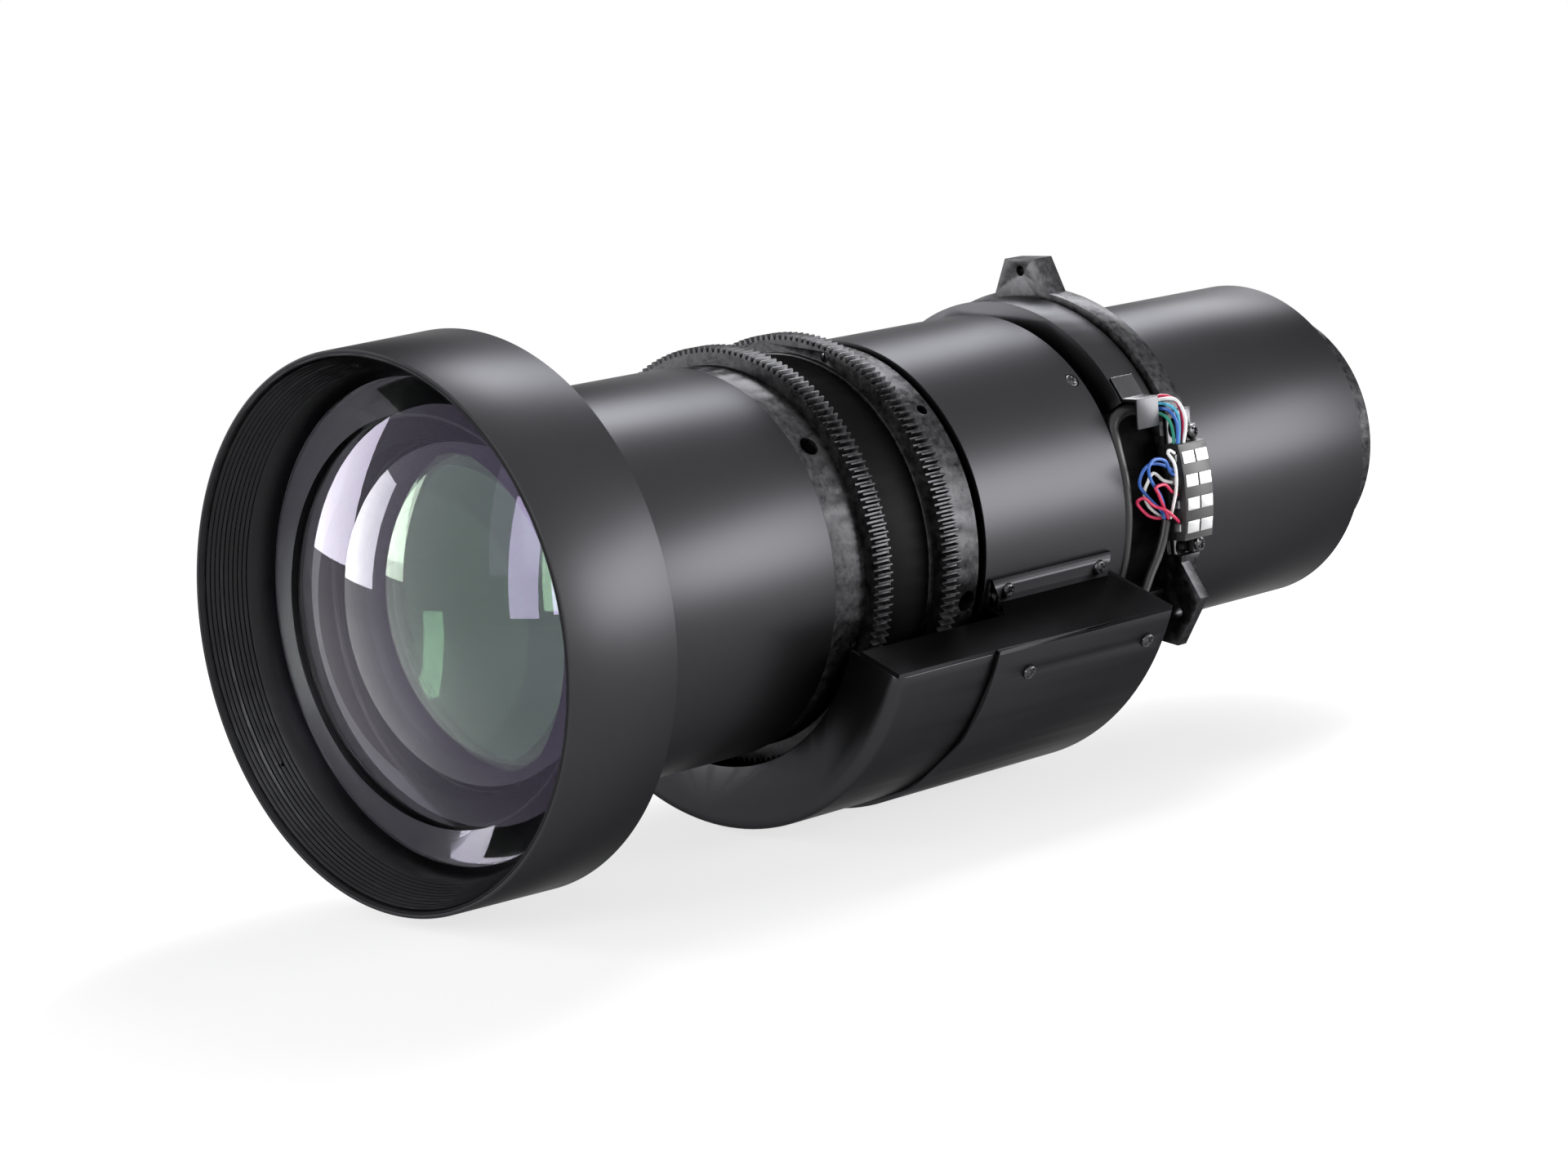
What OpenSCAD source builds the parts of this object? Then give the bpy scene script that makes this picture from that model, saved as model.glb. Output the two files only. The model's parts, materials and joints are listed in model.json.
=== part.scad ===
// Projection lens. Millimetres. The lens axis is Y and the front looks toward -Y.
// The origin is on the axis, in the plane where the mounting flange seats.

/* [Lens axis: lengths from the flange forward] */
// Thickness of the mounting flange
flange_t = 8.8; // [7:0.1:11]
// Length of the rear collar ahead of the flange
collar_l = 17.7; // [15:0.1:21]
// Width of the cable recess ahead of the collar
recess_l = 7.1; // [6:0.1:9]
// Length of the middle sleeve
sleeve_l = 67.7; // [62:0.1:76]
// Dark groove between the sleeve and the zoom band
zoom_gap = 2.9; // [1:0.1:4]
// Length of the smooth zoom band
zoom_band_l = 14.5; // [13:0.1:18]
// Face width of both gear rings
gear_w = 6.5; // [5:0.1:8]
// Space between the two gear rings
gear_space = 24.2; // [23:0.1:28]
// Length of the smooth focus band
focus_band_l = 13.4; // [13:0.1:17]
// Joint line between the focus band and the front barrel
front_gap = 0.3; // [0.2:0.05:0.6]
// Length of the front barrel
front_barrel_l = 89.9; // [80:0.1:100]
// Length of the hood
hood_l = 40.7; // [38:0.1:46]

/* [Hood] */
// Outer radius of the hood at its front rim
hood_r = 85; // [84.5:0.1:88]
// Extra radius of the hood at its rear edge
hood_flare = 0.9; // [0.1:0.1:1.5]
// Wall of the hood
hood_wall = 1.2; // [1:0.1:1.6]
// Thickness of the hood's rear wall
hood_back_t = 3; // [2:0.1:4]
// Width of the plain lip at the mouth of the baffle
rim_lip = 0.8; // [0.8:0.1:1.4]
// Depth of each fine groove in the baffle
groove_d = 0.5; // [0.2:0.05:0.5]
// Fine grooves in each of the two sets
grooves = 5; // [3:1:7]

/* [Front glasses] */
// Width of the baffle's rear face, from the front glass out to the hood
glass_in = 9.2; // [8.8:0.1:10.8]
// Width of the flat round the face of each glass
glass_lap = 0.5; // [0.2:0.1:0.8]
// Distance from the hood's rim back to the front glass edge
glass_set = 22.2; // [22:0.1:24]
// Radius of curvature of the domed front
dome_curve = 150; // [145:1:200]
// Thickness of the front glass edge
glass_edge = 7; // [6:0.1:8]
// Radius of curvature of the hollow behind the dome
bowl_curve = 110; // [105:1:160]
// Width of the ground face round the hollow behind the dome
bowl_in = 14.6; // [12.6:0.1:24]
// Radius of the second glass
second_r = 53; // [50:0.1:54]
// Edge thickness of the second glass
second_edge = 6; // [5:0.1:7]
// Radius of the third glass
third_r = 47; // [42:0.1:47.5]
// Edge thickness of the third glass
third_edge = 6; // [4:0.1:7]
// Radius of curvature of the second glass's front
second_curve = 120; // [100:1:160]
// Radius of curvature of the hollow behind the second glass
second_back = 140; // [120:1:200]
// Radius of curvature of the hollow before the third glass
third_front = 200; // [150:1:260]
// Radius of curvature of the third glass's back
third_curve = 90; // [80:1:140]
// Width of the lip that each glass seats on
seat_lip = 2.5; // [1.5:0.1:3]

/* [Barrels] */
// Bore radius of the main barrel
core_ri = 50; // [49.7:0.1:51]
// Wall of the main barrel
core_t = 2.5; // [2:0.1:3]
// Radial gap between pieces that turn or slide on each other
run = 0.4; // [0.3:0.05:0.5]
// Gap between fixed pieces that nest
fit = 0.02; // [0.01:0.01:0.04]
// Wall of the focus sleeve and of the cam tube
tube_t = 3.7; // [3:0.1:4]
// Space between these tubes and the outer shells
shell_space = 2.9; // [2.4:0.1:3.2]
// Wall of the front barrel
barrel_t = 2.5; // [2:0.1:3]
// Wall of the middle sleeve
sleeve_t = 2.2; // [2:0.1:3]
// Wall of the focus band
band_t = 4; // [3.6:0.1:4.4]
// Radius of the rear barrel
rear_r = 55.15; // [54:0.05:56]
// Wall of the rear barrel
rear_t = 3.15; // [2.5:0.05:4]
// Length of the rear barrel behind the seating face
rear_l = 100.6; // [90:0.1:110]
// Radius of the tail ring at its end
tail_r = 44.5; // [44:0.1:48]
// Length of the tail ring
tail_l = 18.5; // [15:0.1:20]

/* [Gears] */
// Teeth on each gear ring
ring_teeth = 165; // [159:3:168]
// Teeth on each pinion
pinion_teeth = 15; // [15:1:15]
// Module of the teeth
gear_m = 0.8; // [0.79:0.005:0.81]
// Pressure angle of the teeth
pressure = 20; // [18:0.5:22]
// Part of the pitch that a tooth fills
tooth_share = 0.46; // [0.4:0.01:0.47]
// Clearance added to the centre distance
mesh_gap = 0.15; // [0.1:0.01:0.2]
// Angle of the focus pinion, measured from +X toward +Z
focus_pinion_a = -62; // [-66:1:-56]
// Angle of the zoom pinion
zoom_pinion_a = -118; // [-124:1:-114]

/* [Focus and zoom travel] */
// Turn of each ring from stop to stop, in degrees
ring_turn = 90; // [80:1:90]
// Travel of the front group
focus_travel = 4.5; // [3:0.1:4.5]
// Travel of the front zoom group, forward
zoom_a_travel = 20; // [16:0.5:20]
// Travel of the rear zoom group, backward
zoom_b_travel = 10; // [8:0.5:10]
// Radius of the guide pins
pin_r = 1.75; // [1.5:0.05:1.8]
// Clearance round each pin in its slot
pin_gap = 0.35; // [0.3:0.05:0.4]

/* [Flange and collar] */
// Radius of the rear carrier
carrier_ro = 57.4; // [57.2:0.1:58]
// Radius of the flange
flange_r = 66.8; // [66:0.1:68]
// Radius of the collar
collar_r = 65.2; // [64.5:0.1:66]
// Chamfer at the rear edge of the collar
collar_chamfer = 2.4; // [1:0.1:3]
// Distance of the flat on the flange from the axis
flat_x = 60; // [59.4:0.1:61]
// Radius of the circle through the tab holes
tab_hole_pcr = 73.3; // [73:0.1:74]
// Radius of each tab hole
tab_hole_r = 1.7; // [1.4:0.1:2]
// Radius to the outer edge of the tabs
tab_r = 77.4; // [77:0.1:79]
// Half width of the upper tab at its outer edge
tab_top_half = 6.65; // [6:0.05:8]
// Half width of the upper tab at its root
tab_root_half = 14.8; // [13:0.1:17]
// Half width of the lower tabs at their outer edge
low_top_half = 10; // [9:0.1:11]
// Half width of the lower tabs at their root
low_root_half = 18; // [16:0.1:20]
// Radius of the circle through the lower tab holes
low_hole_pcr = 72; // [71:0.1:73]
// Thickness of the lower tabs
low_tab_t = 4.3; // [4:0.1:6]
// Angle of the lower tabs below the horizontal
low_tab_a = 33.6; // [32:0.1:35]

/* [Lower cover] */
// Sheet thickness of the cover and its brackets
sheet = 1.5; // [1.2:0.1:1.8]
// Angle of the shelf below the horizontal
shelf_a = 21.5; // [20:0.5:23]
// Clearance between the motors and the cover
motor_clear = 2.25; // [2:0.05:3]
// Distance of the cover front ahead of the focus gear
cover_lead = 9.1; // [9:0.1:11]
// Length of the front cover's visible part
cover_front_l = 44; // [40:0.5:48]
// Length of the rear cover
cover_rear_l = 83; // [82:0.1:84]
// Overlap of the two cover shells
cover_lap = 9; // [6:0.5:12]
// Radial gap between the cover's front wall and the barrel
cover_arc_gap = 4; // [3:0.1:5]
// Radius of the bend round the front wall
cover_bend = 4; // [2:0.5:5]

/* [Motors] */
// Radius of each motor
motor_r = 7.75; // [7:0.05:7.8]
// Length of each gearbox
gearbox_l = 14; // [12:0.5:14.5]
// Length of each motor can
can_l = 17; // [14:0.5:17]
// Gap between the gear rings and the motors
motor_gap = 0.95; // [0.9:0.05:1.5]
// Radius of the pinion shafts
shaft_r = 1.5; // [1.2:0.05:1.6]
// Thickness of the saddle's plates
plate_t = 2.5; // [2:0.1:2.6]

/* [Contact block] */
// Height of the contact block
block_h = 32; // [30:0.5:34]
// Length of the block along the lens axis
block_l = 14; // [13:0.1:15]
// Height of the block's middle above the lens axis
block_z = 1; // [0:0.1:2]
// Radius of the contact faces about the lens axis
contact_r = 69.6; // [69:0.1:71]
// Width of a contact along the lens axis
pad_w = 5.9; // [5:0.1:6.2]
// Height of a contact
pad_h = 4.1; // [3.6:0.1:4.6]
// Pitch of the contact rows about the lens axis, in degrees
row_pitch = 6.4; // [6:0.1:6.8]
// Thickness of the terminal bracket
bracket_t = 1.5; // [1.2:0.1:2]
// Radius of the round holes in the terminal bracket
bracket_hole_r = 3.6; // [3:0.1:3.8]

/* [Cables] */
// Radius of the motor cable
cable_r = 2.1; // [1.8:0.05:2.2]
// Radius of the switch cable
thin_cable_r = 1.5; // [1.3:0.05:1.6]
// Radius of each coloured wire
wire_r = 0.55; // [0.45:0.05:0.6]

/* [Fasteners] */
// Radius of the screw heads
head_r = 2.5; // [2.3:0.05:2.6]
// Height of the screw heads
head_h = 1.4; // [1.2:0.1:1.6]
// Radius of the screw shanks
shank_r = 1.25; // [1.1:0.05:1.3]
// Depth of the cross in each head
cross_d = 0.7; // [0.5:0.1:0.8]

/* [Hidden] */
$fn = 96;

// Overrun of a cut past the face that it opens
over = 0.5;
// Clearance of a screw shank in its hole
screw_gap = 0.1;

// Stations along the axis, from the seating face forward
y_flange = -flange_t;
y_collar = y_flange - collar_l;
y_sleeve_end = y_collar - recess_l;
y_sleeve = y_sleeve_end - sleeve_l;
y_zoom_band_end = y_sleeve - zoom_gap;
y_zoom_gear_end = y_zoom_band_end - zoom_band_l;
y_zoom_gear = y_zoom_gear_end - gear_w;
y_focus_gear_end = y_zoom_gear - gear_space;
y_focus_gear = y_focus_gear_end - gear_w;
y_focus_band = y_focus_gear - focus_band_l;
y_barrel_end = y_focus_band - front_gap;
y_hood_end = y_barrel_end - front_barrel_l;
y_rim = y_hood_end - hood_l;

// Radii that follow from the main barrel outward
core_ro = core_ri + core_t;
slide_ri = core_ro + run;
slide_ro = slide_ri + tube_t;
ring_ri = slide_ro + run;
band_r = ring_ri + band_t;
shell_ri = slide_ro + shell_space;
barrel_r = shell_ri + barrel_t;
sleeve_r = shell_ri + sleeve_t;

// Gears and motors
pitch_r = ring_teeth * gear_m / 2;
pinion_pitch_r = pinion_teeth * gear_m / 2;
tip_r = pitch_r + gear_m;
dedendum_share = 1.25;
root_r = pitch_r - dedendum_share * gear_m;
pinion_tip_r = pinion_pitch_r + gear_m;
pinion_root_r = pinion_pitch_r - dedendum_share * gear_m;
pinion_c = pitch_r + pinion_pitch_r + mesh_gap;
motor_c = tip_r + motor_gap + motor_r;
pinion_over = 0.7;

// Gear seat, lip for the focus ring and saddle
seat_gap = 0.4;
lip_t = 2.2;
lip_l = 6.5;
focus_tail_l = 3.4;
zoom_nose_l = 1.8;
y_focus_ring_end = y_focus_gear_end + focus_tail_l;
y_seat = y_focus_ring_end + seat_gap;
y_zoom_ring = y_zoom_gear - zoom_nose_l;
y_seat_end = y_zoom_ring - seat_gap;
seat_r = band_r - seat_gap;
saddle_half_a = 38;
wall_share = 0.6;
saddle_t = plate_t * wall_share;
y_plate_a = y_seat;
y_plate_b = y_seat_end - plate_t;
plate_out = 1;
shaft_hole_gap = 0.5;
shaft_in = 3;
shaft_bore_l = 4;
bearing_gap = 0.08;
can_share = 0.9;
switch_w = 6;
switch_l = 10;
switch_t = 4;
switch_a = 6;
lever_t = 0.6;

// Zoom mechanism
cam_end_gap = 1;
carrier_lip_l = 8.4;
carrier_wall_l = 2.7;
y_carrier = y_sleeve_end - carrier_wall_l;
y_cam_end = y_carrier - cam_end_gap;
cell_gap = 0.3;
cell_ro = core_ri - cell_gap;
cell_wall = 6;
zoom_glass_r = cell_ro - cell_wall;
cell_a_l = 16;
cell_b_l = 14;
y_cell_b = y_cam_end - zoom_b_travel - cell_b_l - 2 * cell_gap;
y_cell_a = y_cell_b - cell_a_l - 4 * cell_gap;
y_pin_b = y_cell_b + cell_b_l / 2;
y_pin_a = y_cell_a + cell_a_l / 2;
cam_a = 60;
zoom_glass_edge = 5;
zoom_a_curve = 220;
zoom_b_curve = 260;
zoom_pin_in = 3.5;
zoom_pin_in_r = cell_ro - zoom_pin_in;

// Front group
groove_set_shares = [0.06, 0.36];
groove_form_shares = [0.1, 0.5, 0.9];
notch_a = 96;
notch_r = 0.8;
y_glass = y_rim + glass_set;
y_glass_back = y_glass + glass_edge;
hood_ri = hood_r - hood_wall;
glass_r = hood_ri - glass_in;
bowl_r = glass_r - bowl_in;
dome_sag = sag(dome_curve, glass_r);
baffle_ro = hood_ri - fit;
lap_r = glass_r - glass_lap;
y_hood_floor = y_hood_end - hood_back_t;
core_lead = 7;
inner_cell_l = 25;
inner_flange_l = 3;
y_inner_cell = y_glass_back + inner_flange_l + fit;
y_inner_end = y_inner_cell + inner_cell_l;
y_core = y_inner_end + core_lead;
inner_ro = shell_ri - cell_gap;
y_second = y_inner_cell + seat_lip;
y_third = y_inner_end - seat_lip - third_edge;

// Focus mechanism
sleeve_lead = 1;
pin_in = 1;
pin_set_share = 0.42;
y_pin_focus = y_focus_gear - pin_set_share * focus_band_l;
focus_pin_a = 50;
slot_cap_share = 0.3;
groove_top_r = band_r - slot_cap_share * band_t;
pin_step_a = 15;
band_hole_a = 38.5;
band_hole_r = 3.2;
y_band_hole = (y_focus_band + y_focus_gear) / 2;
band_screw_a = -22.8;
band_screw_r = 1.4;
band_screw_set = 0.9;
y_band_screw = y_focus_gear - 2 * band_screw_r;
zoom_hole_a = 42.9;
zoom_hole_r = 1.9;
zoom_port_a = -18.3;
zoom_port_r = 3.5;
port_set_share = 1.15;
y_zoom_hole = y_zoom_band_end - port_set_share * zoom_port_r;
zoom_screw_a = 71.5;
band_head_share = 0.75;
slot_floor_share = 0.45;
head_top_share = 0.8;
small_head_r = 1.5;
small_head_h = 1;
small_shank_r = 0.8;
small_screw_l = 4;

// Flange, collar and sleeve screws
tab_root_c = rear_r + flange_t / 2;
flat_low_z = -20.6;
flange_screw_a = 60;
flange_screw_c = 61;
flange_screw_in = 5;
flange_screw_set = 0.2;
sleeve_screw_a = 42;
sleeve_screw_set = 1;
sleeve_screw_l = 3;
y_sleeve_screw = y_sleeve_end - carrier_lip_l / 2;

// Rear group
rear_ri = rear_r - rear_t;
spigot_step = 1.5;
shoulder_in = 0.1;
spigot_r = rear_r - spigot_step;
iris_t = 3;
relay_l = 20;
y_relay = rear_l / 2;
relay_edge = 7;
relay_wall = 8;
tail_wall = 4;
tail_flange_l = 6;
iris_bore_r = 32;
relay_curve = 150;
relay_back = 160;
rear_hollow_curve = 150;
rear_bulge_curve = 120;
rear_edge = 6;
rear_glass_inset = 8.5;

// Lower cover
cover_ri = motor_c + motor_r + motor_clear;
cover_ro = cover_ri + sheet;
cover_rear_ri = cover_ro + 2 * fit;
cover_rear_ro = cover_rear_ri + sheet;
y_cover = y_focus_gear - cover_lead;
y_cover_step = y_cover + cover_front_l;
y_cover_end = y_cover_step + cover_rear_l;
y_front_end = y_cover_step + cover_lap;
cover_arc_r = barrel_r + cover_arc_gap;
shelf_gap = 3.6;
shelf_in_r = tip_r + shelf_gap;
wall_gap = 0.5;
skirt_a = 12;
skirt_edge_gap = 1;
flap_a = 9;
flap_start = 1.8;
flap_end = 4.2;
flap_corner_r = 3;
y_flap = y_sleeve + flap_start;
y_flap_end = y_cover_end - flap_end;
flap_screw_l = 4.6;
skirt_screw_l = 3.6;
bend_steps = 8;
thin_hole_r = 3.2;
flap_screw_a = 4.9;
flap_screw_in = 7.7;
flap_screw_back = 5.4;
skirt_screw_a = 6;
skirt_screw_in = 17;
skirt_screw_back = 9;

// Terminals, cables and their holes
y_block = -12;
y_block_end = y_block + block_l;
block_x = flat_x + bracket_t;
bracket_lead = 1.8;
bracket_front = y_flange - bracket_lead;
bracket_back = 2;
bracket_top_z = 27.6;
bracket_low_z = -20.2;
upper_hole_z = 21.6;
lower_hole_z = -18.2;
y_bracket_hole = y_flange + bracket_hole_r - bracket_lead / 2;
pocket_d = 3;
ear_l = 5;
ear_h = 5.2;
ear_t = 2;
upper_ear_z = block_z + (block_h + ear_h) / 2;
lower_ear_z = block_z - (block_h + ear_h) / 2;
y_block_screw = y_block_end - ear_l / 2;
block_screw_l = 5.5;
tag_in = 2;
tag_h = 3.2;
tag_t = 0.8;
tag_w = 2.6;
clip_x = block_x + 0.5;
clip_t = 1.2;
clip_l = 10.6;
clip_set = 0.2;
clip_foot_a = 34;
clip_foot_l = 9;
clip_drop = 9;
pad_t = 0.4;
column_gap = 0.8;
window_top_a = 30;
window_low_a = -29;
cable_hole_r = 3.2;
cable_hole_c = 69;
cable_hole_a = -38;
thin_hole_a = -46;
sides_n = 8;
smooth_n = 4;

// Routes, each point is x, y, z. They were chosen by hand along the cables of the real part.
motor_cable_path = [[35.6, -111.8, -66.7], [37, -105, -66], [44, -92, -60], [51.6, -72, -47], [53.6, -52, -43.2],
    [54.5, -40, -42.8], [53, -35.9, -41], [50.8, -32.1, -36], [53.4, -31.2, -27.5], [57.2, -31.2, -17.5],
    [59.6, -31.2, -4], [59.3, -31.2, 8], [56.8, -31, 19], [54.7, -29.5, 25.6], [55.6, -25, 29.3],
    [58.4, -20, 29.9], [59.4, -16.6, 29.7]];
switch_cable_path = [[7, -137, -66.9], [7.8, -131, -70.6], [10.6, -123, -73.6], [18, -112, -74.5], [32, -92, -69],
    [46, -66, -54], [48, -50, -50], [48, -39.7, -49.5], [53, -35.2, -48], [58.2, -33, -41.6],
    [60.4, -29.4, -34.6], [61.2, -26, -29], [61.6, -23, -24], [62.2, -19.5, -18.5], [63, -17.2, -12.5],
    [63.4, -15.9, -7.5]];
blue_paths = [
    [[63.4, -16.7, -7], [63.8, -17, -3.1], [66, -21, 1.5], [68, -27.5, 7.7], [69, -29.4, 12], [69, -26.4, 14.3],
     [68.8, -21, 13.2], [68.2, -18.2, 9.6], [67, -15.6, 7.9], [66.6, -13, 7.2]],
    [[62.7, -15.3, -7], [62.3, -17.5, -3.6], [63, -24.6, 2.1], [64.8, -29.6, 6.6], [66.2, -28.6, 11.2],
     [66.4, -24.6, 12.6], [65.2, -17.5, 11], [65.4, -13, 8.6]],
    [[60.7, -16.1, 29.6], [61, -14, 29.2], [64.4, -12.6, 28.6], [66.3, -11.5, 25.6], [66.6, -11, 22],
     [66.1, -11, 17.2]]];
red_paths = [
    [[62, -16.9, -6.8], [61.4, -19.4, -6.3], [61, -22.8, -4.6], [62.4, -28.6, 0], [64.6, -27.6, 1.6],
     [64.6, -23, -1.6], [66.8, -19.5, -3.6], [67.2, -16, -6.4], [66.4, -13, -8.4]],
    [[64.8, -16.3, -6.9], [65.4, -18.6, -3.4], [67.4, -23.4, 2.3], [68.6, -26, 5], [67.8, -20.6, 5.2],
     [66.9, -16.4, 2.4], [66.3, -13, 0.6]],
    [[58.5, -16.1, 30.9], [60.4, -11.2, 33], [63.6, -7.2, 30.6], [65.4, -6.6, 24], [64.9, -7.2, 17.2]]];
white_paths = [
    [[64.5, -15, -7], [66.1, -15.2, -3.2], [68.1, -15.5, 2.4], [69.4, -16.4, 8.1], [69.6, -17.4, 12],
     [68.4, -18.6, 15.2], [67, -16.2, 15.8], [66.2, -13, 14.4]],
    [[61.4, -15.2, -7], [60.2, -20.3, -2.6], [61.2, -23.4, 2.2], [62.6, -23, 6], [62.8, -20, 8.6],
     [63, -15.5, 5.6], [64.6, -13, 4.6]],
    [[60.1, -16, 31], [61.3, -12.6, 32], [65, -9.4, 31.6], [67.4, -8.4, 27.6], [67.8, -8.1, 23],
     [66.4, -8.2, 17.2]]];
green_path = [[59.4, -16.1, 28.5], [62, -13.2, 27.2], [64, -11.6, 24.6], [64.6, -11, 20.6], [64.6, -11, 17.2]];
light_blue_path = [[59.4, -16.1, 29.9], [61, -12.2, 30.6], [64.6, -10, 28.8], [66, -9.4, 24.5], [65.4, -9.5, 17.2]];

// Depth of a spherical cap of curve c over radius r
function sag(c, r) = abs(c) - sqrt(c * c - r * r);

// Involute of an angle, in degrees
function involute(a) = tan(a) * 180 / PI - a;

// Half of a tooth's angle at radius r on a gear with n teeth
function tooth_half_a(n, r) =
    let (rp = n * gear_m / 2, rb = rp * cos(pressure), rr = max(r, rb))
    180 * tooth_share / n + involute(pressure) - involute(acos(min(1, rb / rr)));

// Outline of a gear, flank by flank, through the radii in the list
function gear_points(n, radii) =
    let (m = len(radii))
    [for (k = [0 : n - 1]) for (j = [0 : 2 * m - 1])
        let (r = j < m ? radii[j] : radii[2 * m - 1 - j], s = j < m ? -1 : 1,
             a = 360 * k / n + s * tooth_half_a(n, r))
        [r * cos(a), r * sin(a)]];

// Smooth route through hand-chosen points
function spline_point(p, i, t) =
    let (n = len(p), a = p[max(i - 1, 0)], b = p[i], c = p[min(i + 1, n - 1)], d = p[min(i + 2, n - 1)])
    (2 * b + (c - a) * t + (2 * a - 5 * b + 4 * c - d) * t * t + (3 * b - a - 3 * c + d) * t * t * t) / 2;
function smooth(p) = concat(
    [for (i = [0 : len(p) - 2]) for (k = [0 : smooth_n - 1]) spline_point(p, i, k / smooth_n)],
    [p[len(p) - 1]]);
function unit(v) = v / norm(v);
function heading(p, i) = unit(p[min(i + 1, len(p) - 1)] - p[max(i - 1, 0)]);
function side_list(p, i, u) =
    i == len(p) ? [] :
    let (t = heading(p, i), w = unit(u - t * (u * t)))
    concat([w], side_list(p, i + 1, w));

// Tube of radius r along a route, made of triangles
module swept(route, r) {
    p = smooth(route);
    n = sides_n;
    last = (len(p) - 1) * n;
    start = heading(p, 0);
    side = side_list(p, 0, unit(cross(start, abs(start[2]) < 0.9 ? [0, 0, 1] : [1, 0, 0])));
    points = [for (i = [0 : len(p) - 1]) for (k = [0 : n - 1])
        let (u = side[i], v = cross(heading(p, i), u), a = 360 * k / n)
        p[i] + r * (cos(a) * u + sin(a) * v)];
    walls = [for (i = [0 : len(p) - 2]) for (k = [0 : n - 1]) for (half = [0, 1])
        let (a = i * n + k, b = i * n + (k + 1) % n, c = a + n, d = b + n)
        half == 0 ? [a, c, d] : [a, d, b]];
    caps = [for (k = [1 : n - 2]) for (end = [0, 1])
        end == 0 ? [0, k, k + 1] : [last, last + k + 1, last + k]];
    polyhedron(points = points, faces = concat(walls, caps));
}

// Places along the lens axis: local Z runs toward +Y
module along(y) {
    translate([0, y, 0]) rotate([-90, 0, 0]) children();
}

// Turns +X to the angle a toward +Z
module turn(a) {
    rotate([0, -a, 0]) children();
}

// Local Z points outward at angle a, station y and radius r
module radial(a, y, r) {
    turn(a) translate([r, y, 0]) rotate([0, 90, 0]) children();
}

module disc(r, y0, y1) {
    along(y0) cylinder(r = r, h = y1 - y0);
}

module ring(ro, ri, y0, y1) {
    difference() {
        disc(ro, y0, y1);
        disc(ri, y0 - over, y1 + over);
    }
}

// Part of a ring between two angles
module sector(ro, ri, y0, y1, a0, a1) {
    along(y0) rotate([0, 0, -a1]) rotate_extrude(angle = a1 - a0)
        translate([ri, 0]) square([ro - ri, y1 - y0]);
}

// Turned piece from points of station and radius
module turned(points) {
    along(0) rotate_extrude() polygon([for (p = points) [p[1], p[0]]]);
}

// Half of a lens: from the edge plane y in to the middle, with its face toward side s.
// A narrow flat is left round the face.
module lens_half(r, y, middle, curve, s) {
    face_r = r - glass_lap;
    depth = curve == 0 ? 0 : sag(curve, face_r);
    y_face = y + s * depth;
    if (curve >= 0) disc(r, min(middle, y), max(middle, y));
    if (curve > 0)
        intersection() {
            disc(face_r, min(middle, y_face), max(middle, y_face));
            translate([0, y_face - s * curve, 0]) ball(curve);
        }
    if (curve < 0)
        difference() {
            disc(r, min(middle, y), max(middle, y));
            translate([0, y - s * depth - s * curve, 0]) ball(-curve);
        }
}

// Large sphere with its poles on the lens axis
module ball(r) {
    rotate([-90, 0, 0]) sphere(r = r, $fn = 240);
}

// Lens with an edge from y0 to y1. A positive curve bulges outward and a negative one is hollow.
module lens(r, y0, y1, front_curve, back_curve) {
    middle = (y0 + y1) / 2;
    lens_half(r, y0, middle, front_curve, -1);
    lens_half(r, y1, middle, back_curve, 1);
}

// Pan-head screw that points inward: its seat is at local 0 and its head stands on it
module screw(length) {
    difference() {
        union() {
            cylinder(r1 = head_r, r2 = head_r * head_top_share, h = head_h, $fn = 32);
            translate([0, 0, -length]) cylinder(r = shank_r, h = length + head_h / 2, $fn = 24);
        }
        for (a = [0, 90]) rotate([0, 0, a])
            translate([-head_r / 2, -head_r / 8, head_h - cross_d]) cube([head_r, head_r / 4, cross_d + over]);
    }
}

module screw_hole(length) {
    translate([0, 0, -length - screw_gap]) cylinder(r = shank_r + screw_gap, h = length + screw_gap + over, $fn = 32);
}

// Three copies, a third of a turn apart
module thirds(first_a) {
    for (k = [0 : 2]) turn(first_a + 120 * k) children();
}

// Helical slot in a tube: rises by travel over the ring's turn, made of short straight stretches
module cam_slot(first_a, y, travel, r0, r1) {
    steps = ceil(ring_turn / pin_step_a);
    da = ring_turn / steps;
    dy = travel / steps;
    half_w = pin_r + pin_gap;
    tilt = atan2(dy, (r0 + r1) * tan(da / 2));
    stretch = 2 * r1 * tan(da / 2) / cos(tilt) + pin_gap;
    for (k = [0 : steps - 1])
        turn(first_a + (k + 0.5) * da)
            translate([(r0 + r1) / 2, y + (k + 0.5) * dy, 0])
                rotate([-tilt, 0, 0])
                    cube([r1 - r0, 2 * half_w, stretch], center = true);
    for (k = [0, steps])
        turn(first_a + k * da) translate([r0, y + k * dy, 0]) rotate([0, 90, 0])
            cylinder(r = half_w, h = r1 - r0, $fn = 32);
}

// Straight slot along the axis, cut outward from r0 to r1
module key_slot(y_first, y_last, r0, r1) {
    half_w = pin_r + pin_gap;
    y0 = min(y_first, y_last) - half_w;
    y1 = max(y_first, y_last) + half_w;
    translate([r0, y0, -half_w]) cube([r1 - r0, y1 - y0, 2 * half_w]);
}

module hood() {
    color("#2b2b2e")
    turned([
        [y_rim, hood_ri], [y_rim, hood_r], [y_hood_end, hood_r + hood_flare],
        [y_hood_end, shell_ri], [y_hood_floor, shell_ri], [y_hood_floor, hood_ri]]);
}

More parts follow.
